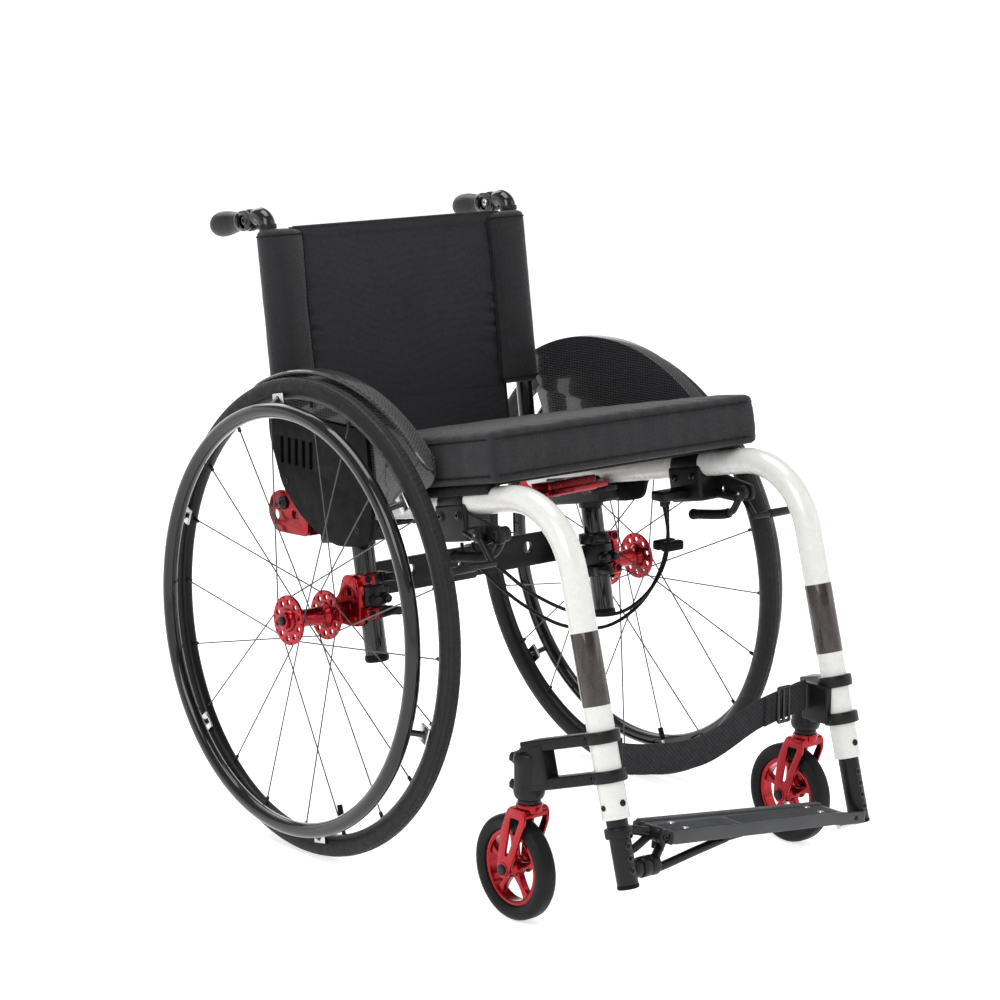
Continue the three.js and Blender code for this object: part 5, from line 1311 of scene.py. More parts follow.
def lock_levers():
    """The hand levers with rubber ends, and the shoe rods that press on the tyres."""
    satin, plastic = LOOKS["satin"], LOOKS["plastic"]
    x, y, z = LOCK_X - 15, LOCK_Y, LOCK_Z
    line = flowing([(x - 0.6, y + 2, z - 2), (x - 0.6, y + 8, z - 14), (x, y + 16, z - 25),
                    (x + 1, y + 30, z - 31.5),
                    (x + 2, y + 90, z - 41.5)], 40)
    parts = [
        disc(x - 4.8, x + 4.8, 9.2, satin, shift(0, y, z), 1.4, 40),
        sweep(line, 4.6, satin), sweep(line[14:], 6.3, plastic),
        screw((x - 5, y, z), (-1, 0, 0), 4.6, satin, 2.0),
    ]
    tip = along(line[-3], line[-1])
    parts.append(disc(-1, 8, 7.0, plastic, tip, 2.4, 32))
    pair("lock_lever_shape", parts, "lock_lever_{}", ["lock_lever"])
    x, y, z = LOCK_X + 3, SHOE_Y, SHOE_Z
    rod_y, rod_z = SHOE_ROD_Y, SHOE_ROD_Z
    parts = [
        disc(x - 4.8, x + 4.8, 8.2, satin, shift(0, y, z), 1.2, 36),
        sweep([(x + 1, y - 3, z - 4), (x + 1, rod_y, rod_z)], 4.2, satin),
        rod((x - 3, rod_y, rod_z), (270, rod_y, rod_z), 3.9, satin, 0.8, 28),
        rod((236, rod_y, rod_z), (270.6, rod_y, rod_z), 5.4, satin, 1.4, 32),
        screw((x + 4.6, y, z), (1, 0, 0), 4.8, satin, 2.2),
    ]
    pair("lock_shoe_shape", parts, "lock_shoe_{}", ["lock_shoe"])


# ------------------------------------------------------- cloth and padding


def coordinates(obj):
    return np.array([v.co for v in obj.data.vertices], float).reshape(-1, 3)


def set_coordinates(obj, places):
    obj.data.vertices.foreach_set("co", np.asarray(places, float).ravel())
    obj.data.update()


def inflate(obj, voxel, pressure, cap, smooth):
    """Remeshes a closed form and swells it as cloth, in metres. The cap limits its movement."""
    obj.data.transform(Matrix.Scale(0.001, 4))
    modify(obj, "REMESH", mode="VOXEL", voxel_size=voxel / 1000)
    rest = coordinates(obj)
    pick(obj)
    cloth = obj.modifiers.new("Cloth", "CLOTH")
    settings = {"quality": 5, "mass": 0.3, "tension_stiffness": 18, "compression_stiffness": 18,
                "shear_stiffness": 8,
                "bending_stiffness": 1.2, "use_pressure": True,
                "uniform_pressure_force": pressure}
    for key, value in settings.items():
        setattr(cloth.settings, key, value)
    cloth.settings.effector_weights.gravity = 0
    cloth.point_cache.frame_start, cloth.point_cache.frame_end = 1, CLOTH_FRAMES
    for step in range(1, CLOTH_FRAMES + 1):
        bpy.context.scene.frame_set(step)
    bpy.ops.object.modifier_apply(modifier=cloth.name)
    bpy.context.scene.frame_set(1)
    moved = coordinates(obj) - rest
    length = np.linalg.norm(moved, axis=1, keepdims=True)
    limit = cap / 1000
    moved *= np.minimum(1, limit * np.tanh(length / limit) / np.maximum(length, 1e-9))
    set_coordinates(obj, rest + moved)
    obj.data.transform(Matrix.Scale(1000, 4))
    return modify(obj, "SMOOTH", factor=0.5, iterations=smooth)


def skin_point(tree, inside, outward, lift=0.0):
    """The point of a closed form's surface met from a point inside it."""
    hit = tree.ray_cast(Vector(inside), Vector(outward).normalized())[0]
    return (hit + Vector(outward).normalized() * lift) if hit else None


def surface_tree(obj):
    mesh = obj.data
    return BVHTree.FromPolygons([v.co.copy() for v in mesh.vertices],
                                [tuple(p.vertices) for p in mesh.polygons])


def stitches(line, look, pitch=5.0, radius=0.42):
    """A row of short raised stitches along a line."""
    points = evenly(line, max(2, int(sum((Vector(b) - Vector(a)).length for a,
                                         b in zip(line, line[1:])) / pitch) * 2))
    runs = [[points[i], points[i + 1]] for i in range(0, len(points) - 1, 2)]
    return sweep(runs, radius, look, rounds=0)


def cushion_outline(inset):
    w, length = 213.6 - inset, 204.5 - inset
    return softened([(-w, -length), (w, -length), (w, length - 58), (w - 32, length - 58),
                     (w - 32, length),
                     (32 - w, length), (32 - w, length - 58), (-w, length - 58)], 6, 5)


def seat_cushion(settings):
    """The padded seat cushion: a crowned closed form with corded seams."""
    cloth, cord = LOOKS["cloth"], LOOKS["piping"]
    place = seat_frame(0, -314 + 201 * math.cos(SLOPE)) @ shift(0, 0, 50.2)
    body = plate(cushion_outline(1.6), 60, cloth, Matrix.Identity(4), (), 3.0)
    inflate(body, settings.voxel, settings.pressure, settings.cap, 2)
    places = coordinates(body)
    across, down = places[:, 0], places[:, 1]
    wide = np.clip(1 - (across / 212) ** 2, 0, 1) * np.clip(1 - (down / 203) ** 2, 0, 1)
    places[places[:, 2] > 0, 2] += settings.crown * wide[places[:, 2] > 0] ** 0.6
    height = places[:, 2]
    pulled = np.exp(-((height - 21) / 4.5) ** 2) + np.exp(-((height + 21) / 4.5) ** 2)
    between_corners = np.clip(1 - (across / 205) ** 4, 0, 1), np.clip(1 - (down / 196) ** 4, 0, 1)
    ripple = np.sin(across * 0.21 + down * 0.19) * 0.35 + np.sin(across * 0.083 - down * 0.11) * 0.5
    for axis, edge, hollow in ((0, 186, between_corners[1]), (1, 180, between_corners[0])):
        side = np.clip((np.abs(places[:, axis]) - edge) / 14, 0, 1)
        inward = side * (1.1 * pulled - 0.6 * ripple + 1.6 * hollow)
        places[:, axis] -= np.sign(places[:, axis]) * inward
    places[:, 2] = np.maximum(places[:, 2], -30.0)
    places[:, 2] += np.where(places[:, 2] > 8, ripple * 0.7, 0)
    set_coordinates(body, places)
    tree = surface_tree(body)
    modify(body, "SUBSURF", levels=1)
    parts = [body]
    corners = cushion_outline(14)
    walk = evenly([(*p, 0) for p in corners + corners[:1]], 300)[:-1]
    for height, radius in ((21.5, 1.6), (-21.5, 1.5)):
        line = []
        for start, end in zip(walk, walk[1:] + walk[:1]):
            outward = Vector((end.y - start.y, start.x - end.x, 0))
            found = skin_point(tree, (start.x, start.y, height), outward, 0.2)
            if found and (found - start).xy.length < 22:
                line.append(found)
        parts.append(sweep(line, radius, cord, closed=True, rounds=2))
    front = [skin_point(tree, (x, -190, 16.5), (0, -1, 0), 0.1) for x in range(-195, 196, 5)]
    parts.append(stitches([p for p in front if p], LOOKS["webbing"], 5.5, 0.35))
    obj = single("seat_cushion_shape", moved(parts, place), "right_frame", ["seat_cushion"],
                 60)
    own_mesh(obj)


def bolsters(settings):
    """The padded rolls round the back canes, each with a corded seam on the back panel."""
    cloth, cord = LOOKS["cloth"], LOOKS["piping"]
    deselect()
    bpy.ops.mesh.primitive_cylinder_add(vertices=40, radius=1, depth=1)
    body = bpy.context.object
    body.data.transform(shift(0, 0, 229) @ Matrix.Diagonal((17.0, 15.0, 231, 1)))
    modify(body, "BEVEL", width=6, segments=3, angle_limit=0.9)
    for vertex in body.data.vertices:
        if vertex.co.x < 0:
            vertex.co.x *= 2.85
        if vertex.co.y < 0:
            vertex.co.y *= 1.6
    painted(body, cloth)
    inflate(body, 4.6, settings.pressure, 2.2, 3)
    places = coordinates(body)
    along_roll = places[:, 2]
    crease = np.sin(along_roll * 0.16 + np.sin(along_roll * 0.043) * 2) * 0.5
    crease += np.sin(along_roll * 0.37) * 0.25
    inner = np.clip(-places[:, 0] / 47, 0, 1)
    gathered = np.exp(-((along_roll - 190) / 55) ** 2) * inner ** 2
    places[:, 1] += np.sign(places[:, 1]) * (crease * 0.3 + crease * gathered * 2.0)
    places[:, 0] += crease * gathered * 1.8
    set_coordinates(body, places)
    tree = surface_tree(body)
    modify(body, "SUBSURF", levels=1)
    parts = [body]
    seam = [skin_point(tree, (-36, -4, s), (-1, -0.55, 0), 0.6) for s in range(118, 342, 4)]
    parts.append(sweep([p for p in seam if p], 2.4, cord, rounds=3))
    seam = [skin_point(tree, (0, 0, s), (0.55, 0.9, 0), 0.3) for s in range(122, 338, 4)]
    parts.append(sweep([p for p in seam if p], 1.4, cord, rounds=2))
    for s in (122, 336):
        ring = [skin_point(tree, (-8, 0, s), (math.cos(a), math.sin(a), 0), 0.1)
                for a in np.linspace(0, 2 * math.pi, 61)[:-1]]
        parts.append(sweep([p for p in ring if p], 1.1, cord, closed=True, rounds=2))
    row = [skin_point(tree, (-30, -4, s), (-0.5, -1, 0), 0.1) for s in range(122, 338, 4)]
    parts.append(stitches([p for p in row if p], LOOKS["webbing"], 5, 0.38))
    for obj in pair("back_bolster_shape", moved(parts, cane_frame(CANE_X)), "back_{}",
                    ["back_bolster"], 60):
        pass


def cloth_grid(across, along_steps, at, thickness, look):
    """A sheet of cloth from a rule that gives the place of each of its points."""
    deselect()
    bpy.ops.mesh.primitive_grid_add(x_subdivisions=across, y_subdivisions=along_steps, size=2)
    obj = bpy.context.object
    for vertex in obj.data.vertices:
        vertex.co = at((vertex.co.x + 1) / 2, (vertex.co.y + 1) / 2)
    modify(obj, "SOLIDIFY", thickness=thickness, offset=0)
    tidy_mesh(obj, 0.0001)
    return painted(obj, look)


def back_depth(x, s, sag):
    """How deep the back cloth hangs. The panel and the sheet under it share it."""
    rise = min(max((s - 40) / 300, 0), 1)
    return sag * max(0.0, 1 - (x / BACK_HALF) ** 2) * (0.8 + 0.2 * math.sin(math.pi * rise))


def back_panel(settings):
    """The back cloth between the rolls: one woven sheet with a hem, puckers and some sag."""
    cloth = LOOKS["panel"]
    low, high, half = 114.0, 345.0, BACK_HALF
    hem = 0.945

    def spot(u, v, front=0.0):
        x = -half + 2 * half * u
        s = low + (high - low) * v
        edge = max(0.0, 154 - abs(x))
        phase = math.sin(s * 0.061) * 1.8 + (0.6 if x > 0 else 0)
        wobble = math.sin(s * 0.27 + phase) + 0.5 * math.sin(s * 0.61 + x * 0.02)
        pucker = 2.0 * wobble * math.exp(-edge / 13) * math.exp(-((s - 205) / 62) ** 2)
        pull = 0.9 * math.sin(x * 0.045 + s * 0.012) * math.sin(math.pi * v)
        tilt = 3.6 * (1 - v) ** 3 - (1.2 if v > hem else 0.0)
        depth = back_depth(x, s, settings.sag) - 8.0
        return Vector((x, depth + pucker + pull + tilt + front, s))

    parts = [cloth_grid(110, 76, spot, 2.6, cloth)]
    for side in (-1.0, 2.0):
        parts.append(stitches([spot(u, hem, side) for u in np.linspace(0.03, 0.97, 60)],
                              LOOKS["webbing"], 5, 0.4))
    for u in (0.075, 0.925):
        parts.append(stitches([spot(u, v, -1.5) for v in np.linspace(0.02, 0.97, 50)],
                              LOOKS["webbing"], 5, 0.4))
    parts.append(sweep([spot(u, 0.997) for u in np.linspace(0.02, 0.98, 70)], 2.0, cloth, rounds=3))
    obj = single("back_panel_shape", moved(parts, cane_frame(0)), "back_right", ["back_sling"],
                 50)
    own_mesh(obj)


def back_skirt(settings):
    """The sheet that carries the back cloth down behind the cushion."""
    def spot(u, v):
        x, s = -162 + 324 * u, 40.5 + 94 * v
        ease = 0.6 * math.sin(x * 0.06) * (1 - v)
        return Vector((x, -3.6 + back_depth(x, s, settings.sag) * (0.5 + 0.5 * v) + ease, s))

    parts = [cloth_grid(80, 26, spot, 2.4, LOOKS["panel"])]
    for u in (0.012, 0.988):
        edge = [spot(u, v) + Vector((0, -0.5, 0)) for v in np.linspace(0, 0.99, 20)]
        parts.append(sweep(edge, 1.7, LOOKS["piping"], rounds=2))
    obj = single("back_skirt_shape", moved(parts, cane_frame(0)), "right_frame", ["back_skirt"],
                 50)
    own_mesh(obj)


def seat_sling():
    """The woven sheet under the cushion, with a hem over each rail."""
    radius, wrap = 18.4, math.radians(62)
    run = radius * wrap
    total = 2 * RAIL_X + 2 * run
    front, rear = -286, 57
    length = (rear - front) / math.cos(SLOPE)

    def spot(u, v):
        t = u * total
        y = -length / 2 + length * v
        if run < t < total - run:
            return Vector((t - run - RAIL_X, y, radius))
        side = -1 if t <= run else 1
        angle = (run - t if side < 0 else t - total + run) / radius
        return Vector((side * (RAIL_X + radius * math.sin(angle)), y, radius * math.cos(angle)))

    place = seat_frame(0, (front + rear) / 2)
    parts = [cloth_grid(120, 40, spot, 2.4, LOOKS["panel"])]
    for side in (-1, 1):
        line = [Vector((side * (RAIL_X - 22), y, radius - 1.4))
                for y in np.linspace(-length / 2 + 6, length / 2 - 6, 60)]
        parts.append(stitches(line, LOOKS["webbing"], 5, 0.45))
    parts.append(sweep([spot(u, 0.004) for u in np.linspace(0.01, 0.99, 80)], 2.0, LOOKS["piping"],
                       rounds=2))
    obj = single("seat_sling_shape", moved(parts, place), "right_frame", ["seat_sling"],
                 50)
    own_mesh(obj)


def calf_strap():
    """The webbing band behind the calves, with a slide buckle and sewn ends."""
    half, y = 161, leg_y(ARM_HEIGHTS[0]) + 36
    line = flowing([(-half, y, 200), (-half + 5, y, 200), (-90, y + 6, 184), (0, y + 8, 178),
                    (90, y + 6, 206),
                    (half - 5, y, 219), (half, y, 219)], 120)

    def band(offset, start=0.0, end=1.0):
        def spot(u, v):
            k = (start + (end - start) * u) * 120
            i = min(int(k), 119)
            p = line[i].lerp(line[i + 1], k - i)
            curl = 1.1 * math.sin(p.x * 0.04) * (2 * v - 1)
            return Vector((p.x, p.y + offset + curl, p.z + (v - 0.5) * STRAP_WIDTH))
        return spot

    web, steel = LOOKS["webbing"], LOOKS["gloss"]
    parts = [cloth_grid(130, 8, band(0), 2.2, web)]
    parts.append(cloth_grid(26, 8, band(-2.6, 0.80, 0.985), 2.0, web))
    parts.append(cloth_grid(20, 8, band(-2.6, 0.015, 0.13), 2.0, web))
    for share in (0.805, 0.83):
        spot = band(-3.0, share, share + 0.001)
        parts.append(stitches([spot(0, v) + Vector((0, -1.1, 0))
                               for v in np.linspace(0.08, 0.92, 10)], LOOKS["piping"], 4, 0.5))
    middle = band(-3.6, 0.885, 0.886)(0, 0.5)
    bars = [((x, -21), (x, 21)) for x in (-9, 0, 9)] + [((-9, z), (9, z)) for z in (-21, 21)]
    for ends in bars:
        parts.append(sweep([middle + Vector((x, -0.8, z)) for x, z in ends], 2.2, steel, rounds=3))
    obj = single("calf_strap_shape", parts, "right_frame", ["calf_strap"], 50)
    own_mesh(obj)


ANCHOR_Z = rail_z(MOUNT_Y) - 34
CABLE_ROUTES = {
    "front": [(-176, -224, rail_z(-224) - 50), (-175, -225, rail_z(-224) - 58), (-150, -236, 388),
              (-95, -238, 345),
              (-20, -236, 309), (48, -236, 300), (100, -230, 318), (132, -224, 350),
              (140, -221, 380), (138, -219, 405),
              (134, -217, ANCHOR_Z - 6.6)],
    "rear": [(-177, -204, rail_z(-204) - 50), (-176.5, -204.5, rail_z(-204) - 58),
             (-155, -214, 380), (-100, -218, 332),
             (-25, -216, 290), (48, -214, 279), (104, -212, 300), (136, -211, 336),
             (148, -211, 372), (148, -211, 402),
             (147, -211, ANCHOR_Z - 6.6)],
}


def brake_cables():
    """The two cables that hang between the wheel locks, and the clip that joins them."""
    for name, route in CABLE_ROUTES.items():
        line = flowing(route, 66)
        obj = single(f"brake_cable_{name}_shape", [sweep(line, 2.3, LOOKS["cable"], rounds=3)],
                     "right_frame",
                     [f"brake_cable_{name}"], 60)
        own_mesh(obj)
    clip = [block((31.4, 12, 12.4), (144, y, 368.5), LOOKS["plastic"], 3.2, segments=4)
            for y in (-224.4, -209.6)]
    clip.append(block((27, 27, 9), (144, -217, 368.5), LOOKS["plastic"], 2.0))
    single("cable_clip_shape", clip, "left_frame", ["cable_clip"])


# ------------------------------------------------------------------ stage

CAMERA_PLACE = (-2158.6878, -2708.0994, 1105.83346)
CAMERA_AXES = ((0.77488439, -0.63209645, -0.00287562), (0.12650646, 0.15062328, 0.98046353),
               (-0.61931438, -0.76010967, 0.19667991))


def camera_and_lights(stage):
    """The camera, a pale floor and soft studio light."""
    deselect()
    bpy.ops.object.camera_add()
    camera = bpy.context.object
    camera.name = "studio_camera"
    turned = Matrix(CAMERA_AXES).transposed().to_4x4()
    camera.matrix_world = Matrix.Translation(TO_ROW @ Vector(CAMERA_PLACE)) @ turned
    camera.data.sensor_width = 36
    camera.data.lens = 99.08
    camera.data.clip_end = 60
    bpy.context.scene.camera = camera
    deselect()
    bpy.ops.mesh.primitive_circle_add(vertices=128, radius=24, fill_type="NGON")
    floor = bpy.context.object
    floor.name = "studio_floor"
    bpy.ops.object.mode_set(mode="EDIT")
    for grow, rise in ((1.02, 0.15), (1.02, 0.5), (1.015, 1.2), (1.01, 2.4), (1.005, 5.5)):
        bpy.ops.mesh.extrude_edges_move(TRANSFORM_OT_translate={"value": (0, 0, rise)})
        bpy.ops.transform.resize(value=(grow, grow, 1))
    bpy.ops.object.mode_set(mode="OBJECT")
    look = Look("studio_floor", (stage.floor,) * 3, 0.9, specular=0.0)
    look.tint(look.between(look.noise(3), 0.4, 0.6, 0, 1), (stage.floor,) * 3,
              (stage.floor * 0.992,) * 3)
    look.bump(look.noise(200), 0.02, 0.0005)
    look.shader.inputs["Emission Color"].default_value = (1, 1, 1, 1)
    look.shader.inputs["Emission Strength"].default_value = stage.glow
    painted(floor, look.material)
    floor.data.transform(shift(0, 0, -0.0006))
    world = bpy.data.worlds.new("studio_world")
    world.use_nodes = True
    world.node_tree.nodes["Background"].inputs["Color"].default_value = (1, 1, 1, 1)
    world.node_tree.nodes["Background"].inputs["Strength"].default_value = stage.world
    bpy.context.scene.world = world
    lamps = (("key_light", (-2.8, -1.6, 3.0), 2.2, stage.key),
             ("fill_light", (2.8, -2.6, 2.4), 2.6, stage.key * 0.3),
             ("back_light", (0.6, 3.2, 3.0), 2.2, stage.key * 0.6),
             ("top_light", (0, 0.3, 3.2), 1.8, stage.key * 0.7))
    for name, place, size, energy in lamps:
        deselect()
        bpy.ops.object.light_add(type="AREA", location=place)
        lamp = bpy.context.object
        lamp.name = name
        lamp.data.size = size
        lamp.data.energy = energy
        aim = Vector((0, 0, 0.4)) - Vector(place)
        lamp.rotation_euler = aim.to_track_quat("-Z", "Y").to_euler()
    bpy.context.scene.view_settings.view_transform = "Standard"


# --------------------------------------------------------------- settings


class ChairColours(bpy.types.PropertyGroup):
    """Colours of the chair's finishes."""

    red: bpy.props.FloatVectorProperty(name="Anodised red",
                                       description="Colour of the anodised fittings",
                                       subtype="COLOR",
                                       size=3, default=(0.34, 0.006, 0.013), min=0, max=1)
    white: bpy.props.FloatVectorProperty(name="Frame white",
                                         description="Colour of the painted frame tubes",
                                         subtype="COLOR", size=3, default=(0.565, 0.562, 0.545),
                                         min=0, max=1)
    black: bpy.props.FloatVectorProperty(name="Metal black",
                                         description="Colour of the coated metal and plastic",
                                         subtype="COLOR", size=3, default=(0.007, 0.007, 0.0075),
                                         min=0, max=1)
    cloth: bpy.props.FloatVectorProperty(name="Cloth black",
                                         description="Colour of the woven covers", subtype="COLOR",
                                         size=3, default=(0.009, 0.009, 0.0105), min=0, max=1)


class ChairWheels(bpy.types.PropertyGroup):
    """Sizes of the rear wheels' fine parts."""

    spoke_count: bpy.props.IntProperty(name="Spokes",
                                       description="Number of spokes in each rear wheel",
                                       default=20, min=12,
                                       max=36)
    spoke_radius: bpy.props.FloatProperty(name="Spoke radius",
                                          description="Radius of a spoke in millimetres",
                                          default=0.95,
                                          min=0.6, max=2.5)


class ChairPadding(bpy.types.PropertyGroup):
    """How the padded and woven pieces swell and hang."""

    voxel: bpy.props.FloatProperty(name="Cloth grid",
                                   description="Grid of the swelling cloth in millimetres",
                                   default=5.0,
                                   min=4, max=12)
    pressure: bpy.props.FloatProperty(name="Pressure",
                                      description="Pressure inside the padded pieces", default=4.0,
                                      min=0,
                                      max=20)
    cap: bpy.props.FloatProperty(name="Swell limit",
                                 description="Furthest swell of the cushion in millimetres",
                                 default=3.0, min=1, max=16)
    crown: bpy.props.FloatProperty(name="Crown",
                                   description="Extra height of the cushion's middle in mm",
                                   default=3.0, min=0, max=20)
    sag: bpy.props.FloatProperty(name="Back sag",
                                 description="Depth of the back panel's sag in millimetres",
                                 default=6.0,
                                 min=0, max=30)


class ChairStage(bpy.types.PropertyGroup):
    """Brightness of the studio."""

    key: bpy.props.FloatProperty(name="Key light", description="Power of the main light in watts",
                                 default=80.0, min=0,
                                 max=1000)
    world: bpy.props.FloatProperty(name="Surroundings",
                                   description="Brightness of the white surroundings", default=0.4,
                                   min=0, max=5)
    floor: bpy.props.FloatProperty(name="Floor", description="Reflectance of the floor",
                                   default=0.82, min=0, max=1)
    glow: bpy.props.FloatProperty(name="Floor glow",
                                  description="Light the floor gives off by itself", default=0.62,
                                  min=0,
                                  max=3)


# -------------------------------------------------------------- operators


class CHAIR_OT_stage(bpy.types.Operator):
    """The camera, the floor and the lights"""

    bl_idname = "chair.stage"
    bl_label = "Stage"

    def execute(self, context):
        camera_and_lights(context.scene.chair_stage)
        return {"FINISHED"}


class CHAIR_OT_finishes(bpy.types.Operator):
    """The procedural finishes of every piece"""

    bl_idname = "chair.finishes"
    bl_label = "Finishes"

    def execute(self, context):
        make_looks(context.scene.chair_colours)
        return {"FINISHED"}


class CHAIR_OT_brake_cables(bpy.types.Operator):
    """The two hanging cables and their clip"""

    bl_idname = "chair.brake_cables"
    bl_label = "Brake cables"

    def execute(self, context):
        brake_cables()
        return {"FINISHED"}


class CHAIR_OT_frame_tubes(bpy.types.Operator):
    """The bent side tubes"""

    bl_idname = "chair.frame_tubes"
    bl_label = "Frame tubes"

    def execute(self, context):
        frame_tubes()
        return {"FINISHED"}


class CHAIR_OT_leg_sleeves(bpy.types.Operator):
    """The dark sleeves on the front legs"""

    bl_idname = "chair.leg_sleeves"
    bl_label = "Leg sleeves"

    def execute(self, context):
        leg_sleeves()
        return {"FINISHED"}


class CHAIR_OT_rear_posts(bpy.types.Operator):
    """The rear posts and their heads"""

    bl_idname = "chair.rear_posts"
    bl_label = "Rear posts"

    def execute(self, context):
        rear_posts()
        return {"FINISHED"}


class CHAIR_OT_axle_clamps(bpy.types.Operator):
    """The red clamps with the stub axles"""

    bl_idname = "chair.axle_clamps"
    bl_label = "Axle clamps"

    def execute(self, context):
        axle_clamps()
        return {"FINISHED"}


class CHAIR_OT_cross_bar(bpy.types.Operator):
    """The two halves of the rear cross bar"""

    bl_idname = "chair.cross_bar"
    bl_label = "Cross bar"

    def execute(self, context):
        each_side("rear_bar_shape", bar_half, "{}_frame", ["rear_bar"])
        return {"FINISHED"}


class CHAIR_OT_side_guards(bpy.types.Operator):
    """The carbon guards over the rear tyres"""

    bl_idname = "chair.side_guards"
    bl_label = "Side guards"

    def execute(self, context):
        side_guards()
        return {"FINISHED"}


class CHAIR_OT_side_covers(bpy.types.Operator):
    """The slotted covers on the guards"""

    bl_idname = "chair.side_covers"
    bl_label = "Side covers"

    def execute(self, context):
        side_covers()
        return {"FINISHED"}


class CHAIR_OT_castor_arms(bpy.types.Operator):
    """The castings that carry the castors"""

    bl_idname = "chair.castor_arms"
    bl_label = "Castor arms"

    def execute(self, context):
        castor_arms()
        return {"FINISHED"}


class CHAIR_OT_castor_forks(bpy.types.Operator):
    """The red castor forks"""

    bl_idname = "chair.castor_forks"
    bl_label = "Castor forks"

    def execute(self, context):
        castor_forks()
        return {"FINISHED"}


class CHAIR_OT_castor_wheels(bpy.types.Operator):
    """The castor rims and tyres"""

    bl_idname = "chair.castor_wheels"
    bl_label = "Castor wheels"

    def execute(self, context):
        castor_wheels()
        return {"FINISHED"}


class CHAIR_OT_rear_tyres(bpy.types.Operator):
    """The tyres of the rear wheels"""

    bl_idname = "chair.rear_tyres"
    bl_label = "Rear tyres"

    def execute(self, context):
        rear_tyres()
        return {"FINISHED"}


class CHAIR_OT_rear_rims(bpy.types.Operator):
    """The rims, nipples and valves of the rear wheels"""

    bl_idname = "chair.rear_rims"
    bl_label = "Rear rims"

    def execute(self, context):
        rear_rims(context.scene.chair_wheels)
        return {"FINISHED"}


class CHAIR_OT_rear_spokes(bpy.types.Operator):
    """The spokes of the rear wheels"""

    bl_idname = "chair.rear_spokes"
    bl_label = "Rear spokes"

    def execute(self, context):
        rear_spokes(context.scene.chair_wheels)
        return {"FINISHED"}


class CHAIR_OT_rear_hubs(bpy.types.Operator):
    """The red hubs of the rear wheels"""

    bl_idname = "chair.rear_hubs"
    bl_label = "Rear hubs"

    def execute(self, context):
        rear_hubs()
        return {"FINISHED"}


class CHAIR_OT_hand_rings(bpy.types.Operator):
    """The hand rings and their tabs"""

    bl_idname = "chair.hand_rings"
    bl_label = "Hand rings"

    def execute(self, context):
        hand_rings()
        return {"FINISHED"}


class CHAIR_OT_foot_tubes(bpy.types.Operator):
    """The sliding foot tubes"""

    bl_idname = "chair.foot_tubes"
    bl_label = "Foot tubes"

    def execute(self, context):
        each_side("foot_tube_shape", foot_parts, "foot_{}", ["foot_tube"])
        return {"FINISHED"}


class CHAIR_OT_footplate(bpy.types.Operator):
    """The footplate and its strut"""

    bl_idname = "chair.footplate"
    bl_label = "Footplate"

    def execute(self, context):
        footplates()
        return {"FINISHED"}


class CHAIR_OT_back_hinges(bpy.types.Operator):
    """The red fittings that carry the back"""

    bl_idname = "chair.back_hinges"
    bl_label = "Back hinges"

    def execute(self, context):
        back_hinges()
        return {"FINISHED"}


class CHAIR_OT_back_canes(bpy.types.Operator):
    """The back canes"""

    bl_idname = "chair.back_canes"
    bl_label = "Back canes"

    def execute(self, context):
        back_canes()
        return {"FINISHED"}


class CHAIR_OT_push_handles(bpy.types.Operator):
    """The folding push handles"""

    bl_idname = "chair.push_handles"
    bl_label = "Push handles"

    def execute(self, context):
        push_handles()
        return {"FINISHED"}


class CHAIR_OT_folding_links(bpy.types.Operator):
    """The red links of the folding brace"""

    bl_idname = "chair.folding_links"
    bl_label = "Folding links"

    def execute(self, context):
        folding_links()
        return {"FINISHED"}


class CHAIR_OT_lock_mounts(bpy.types.Operator):
    """The clamps of the wheel locks"""

    bl_idname = "chair.lock_mounts"
    bl_label = "Lock mounts"

    def execute(self, context):
        lock_mounts()
        return {"FINISHED"}


class CHAIR_OT_lock_levers(bpy.types.Operator):
    """The levers and shoes of the wheel locks"""

    bl_idname = "chair.lock_levers"
    bl_label = "Lock levers"

    def execute(self, context):
        lock_levers()
        return {"FINISHED"}


class CHAIR_OT_seat_sling(bpy.types.Operator):
    """The woven sheet under the cushion"""

    bl_idname = "chair.seat_sling"
    bl_label = "Seat sling"

    def execute(self, context):
        seat_sling()
        return {"FINISHED"}


class CHAIR_OT_seat_cushion(bpy.types.Operator):
    """The padded seat cushion"""

    bl_idname = "chair.seat_cushion"
    bl_label = "Seat cushion"

    def execute(self, context):
        seat_cushion(context.scene.chair_padding)
        return {"FINISHED"}


class CHAIR_OT_bolsters(bpy.types.Operator):
    """The padded rolls round the back canes"""

    bl_idname = "chair.bolsters"
    bl_label = "Back rolls"

    def execute(self, context):
        bolsters(context.scene.chair_padding)
        return {"FINISHED"}


class CHAIR_OT_back_panel(bpy.types.Operator):
    """The woven back between the rolls"""

    bl_idname = "chair.back_panel"
    bl_label = "Back panel"

    def execute(self, context):
        back_panel(context.scene.chair_padding)
        return {"FINISHED"}


class CHAIR_OT_back_skirt(bpy.types.Operator):
    """The woven sheet behind the cushion"""

    bl_idname = "chair.back_skirt"
    bl_label = "Back skirt"

    def execute(self, context):
        back_skirt(context.scene.chair_padding)
        return {"FINISHED"}


class CHAIR_OT_calf_strap(bpy.types.Operator):
    """The webbing band behind the calves"""

    bl_idname = "chair.calf_strap"
    bl_label = "Calf strap"

    def execute(self, context):
        calf_strap()
        return {"FINISHED"}


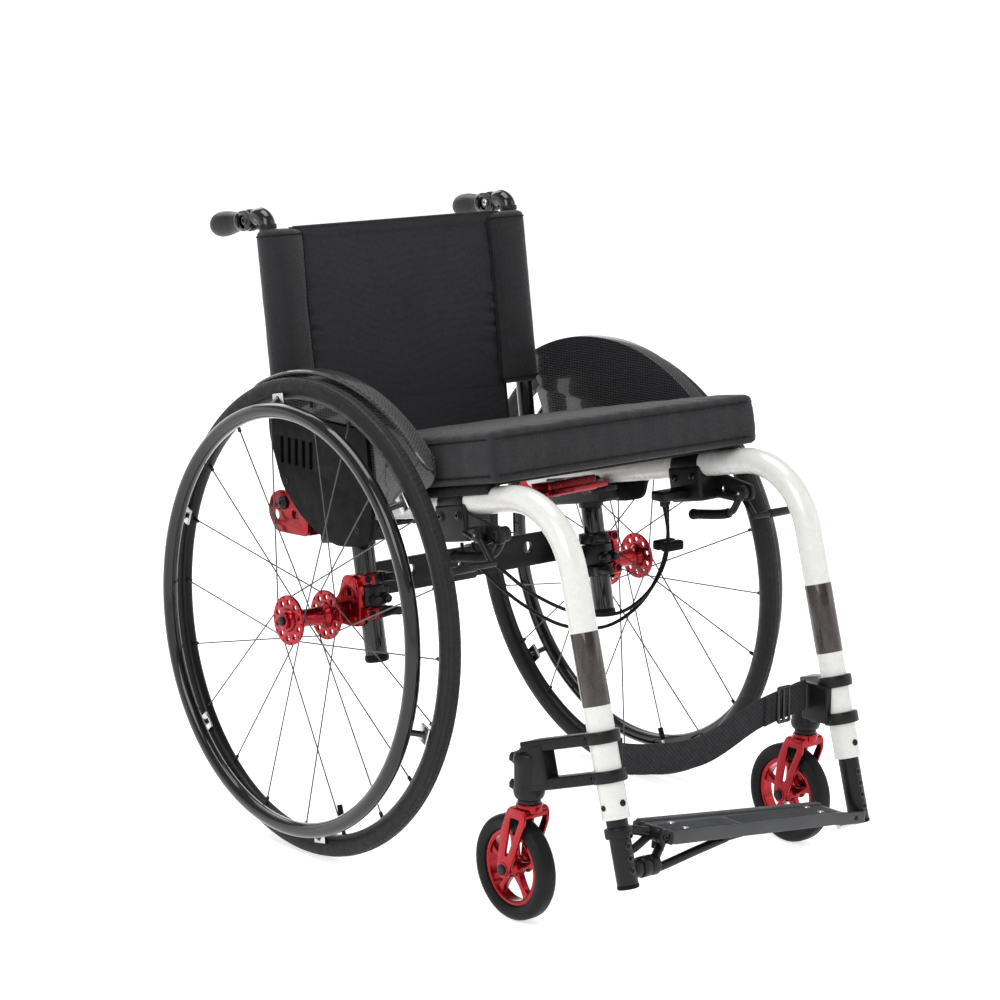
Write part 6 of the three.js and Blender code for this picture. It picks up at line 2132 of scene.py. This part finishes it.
class CHAIR_PT_panel(bpy.types.Panel):
    """Settings and pieces of the chair."""

    bl_idname = "CHAIR_PT_panel"
    bl_label = "Folding wheelchair"
    bl_space_type = "VIEW_3D"
    bl_region_type = "UI"
    bl_category = "Wheelchair"

    def draw(self, context):
        scene = context.scene
        for title, group in (("Colours", scene.chair_colours), ("Rear wheels", scene.chair_wheels),
                             ("Padding", scene.chair_padding), ("Studio", scene.chair_stage)):
            box = self.layout.box()
            box.label(text=title)
            for key in group.__annotations__:
                box.prop(group, key)
        for operator in OPERATORS:
            self.layout.operator(operator.bl_idname)


OPERATORS = (
    CHAIR_OT_stage, CHAIR_OT_finishes, CHAIR_OT_brake_cables, CHAIR_OT_frame_tubes,
    CHAIR_OT_leg_sleeves,
    CHAIR_OT_rear_posts, CHAIR_OT_axle_clamps, CHAIR_OT_cross_bar, CHAIR_OT_side_guards,
    CHAIR_OT_side_covers, CHAIR_OT_castor_arms, CHAIR_OT_castor_forks, CHAIR_OT_castor_wheels,
    CHAIR_OT_rear_tyres, CHAIR_OT_rear_rims, CHAIR_OT_rear_spokes, CHAIR_OT_rear_hubs,
    CHAIR_OT_hand_rings,
    CHAIR_OT_foot_tubes, CHAIR_OT_footplate, CHAIR_OT_back_hinges, CHAIR_OT_back_canes,
    CHAIR_OT_push_handles, CHAIR_OT_folding_links, CHAIR_OT_lock_mounts, CHAIR_OT_lock_levers,
    CHAIR_OT_seat_sling, CHAIR_OT_seat_cushion, CHAIR_OT_bolsters, CHAIR_OT_back_panel,
    CHAIR_OT_back_skirt,
    CHAIR_OT_calf_strap,
)
GROUPS = {"chair_colours": ChairColours, "chair_wheels": ChairWheels, "chair_padding": ChairPadding,
          "chair_stage": ChairStage}


def register():
    for name, group in GROUPS.items():
        bpy.utils.register_class(group)
        setattr(bpy.types.Scene, name, bpy.props.PointerProperty(type=group))
    for operator in OPERATORS:
        bpy.utils.register_class(operator)
    bpy.utils.register_class(CHAIR_PT_panel)


def unregister():
    bpy.utils.unregister_class(CHAIR_PT_panel)
    for operator in reversed(OPERATORS):
        bpy.utils.unregister_class(operator)
    for name, group in GROUPS.items():
        delattr(bpy.types.Scene, name)
        bpy.utils.unregister_class(group)


def main():
    register()
    for operator in OPERATORS:
        getattr(bpy.ops.chair, operator.bl_idname.split(".")[1])()


if __name__ == "__main__":
    main()
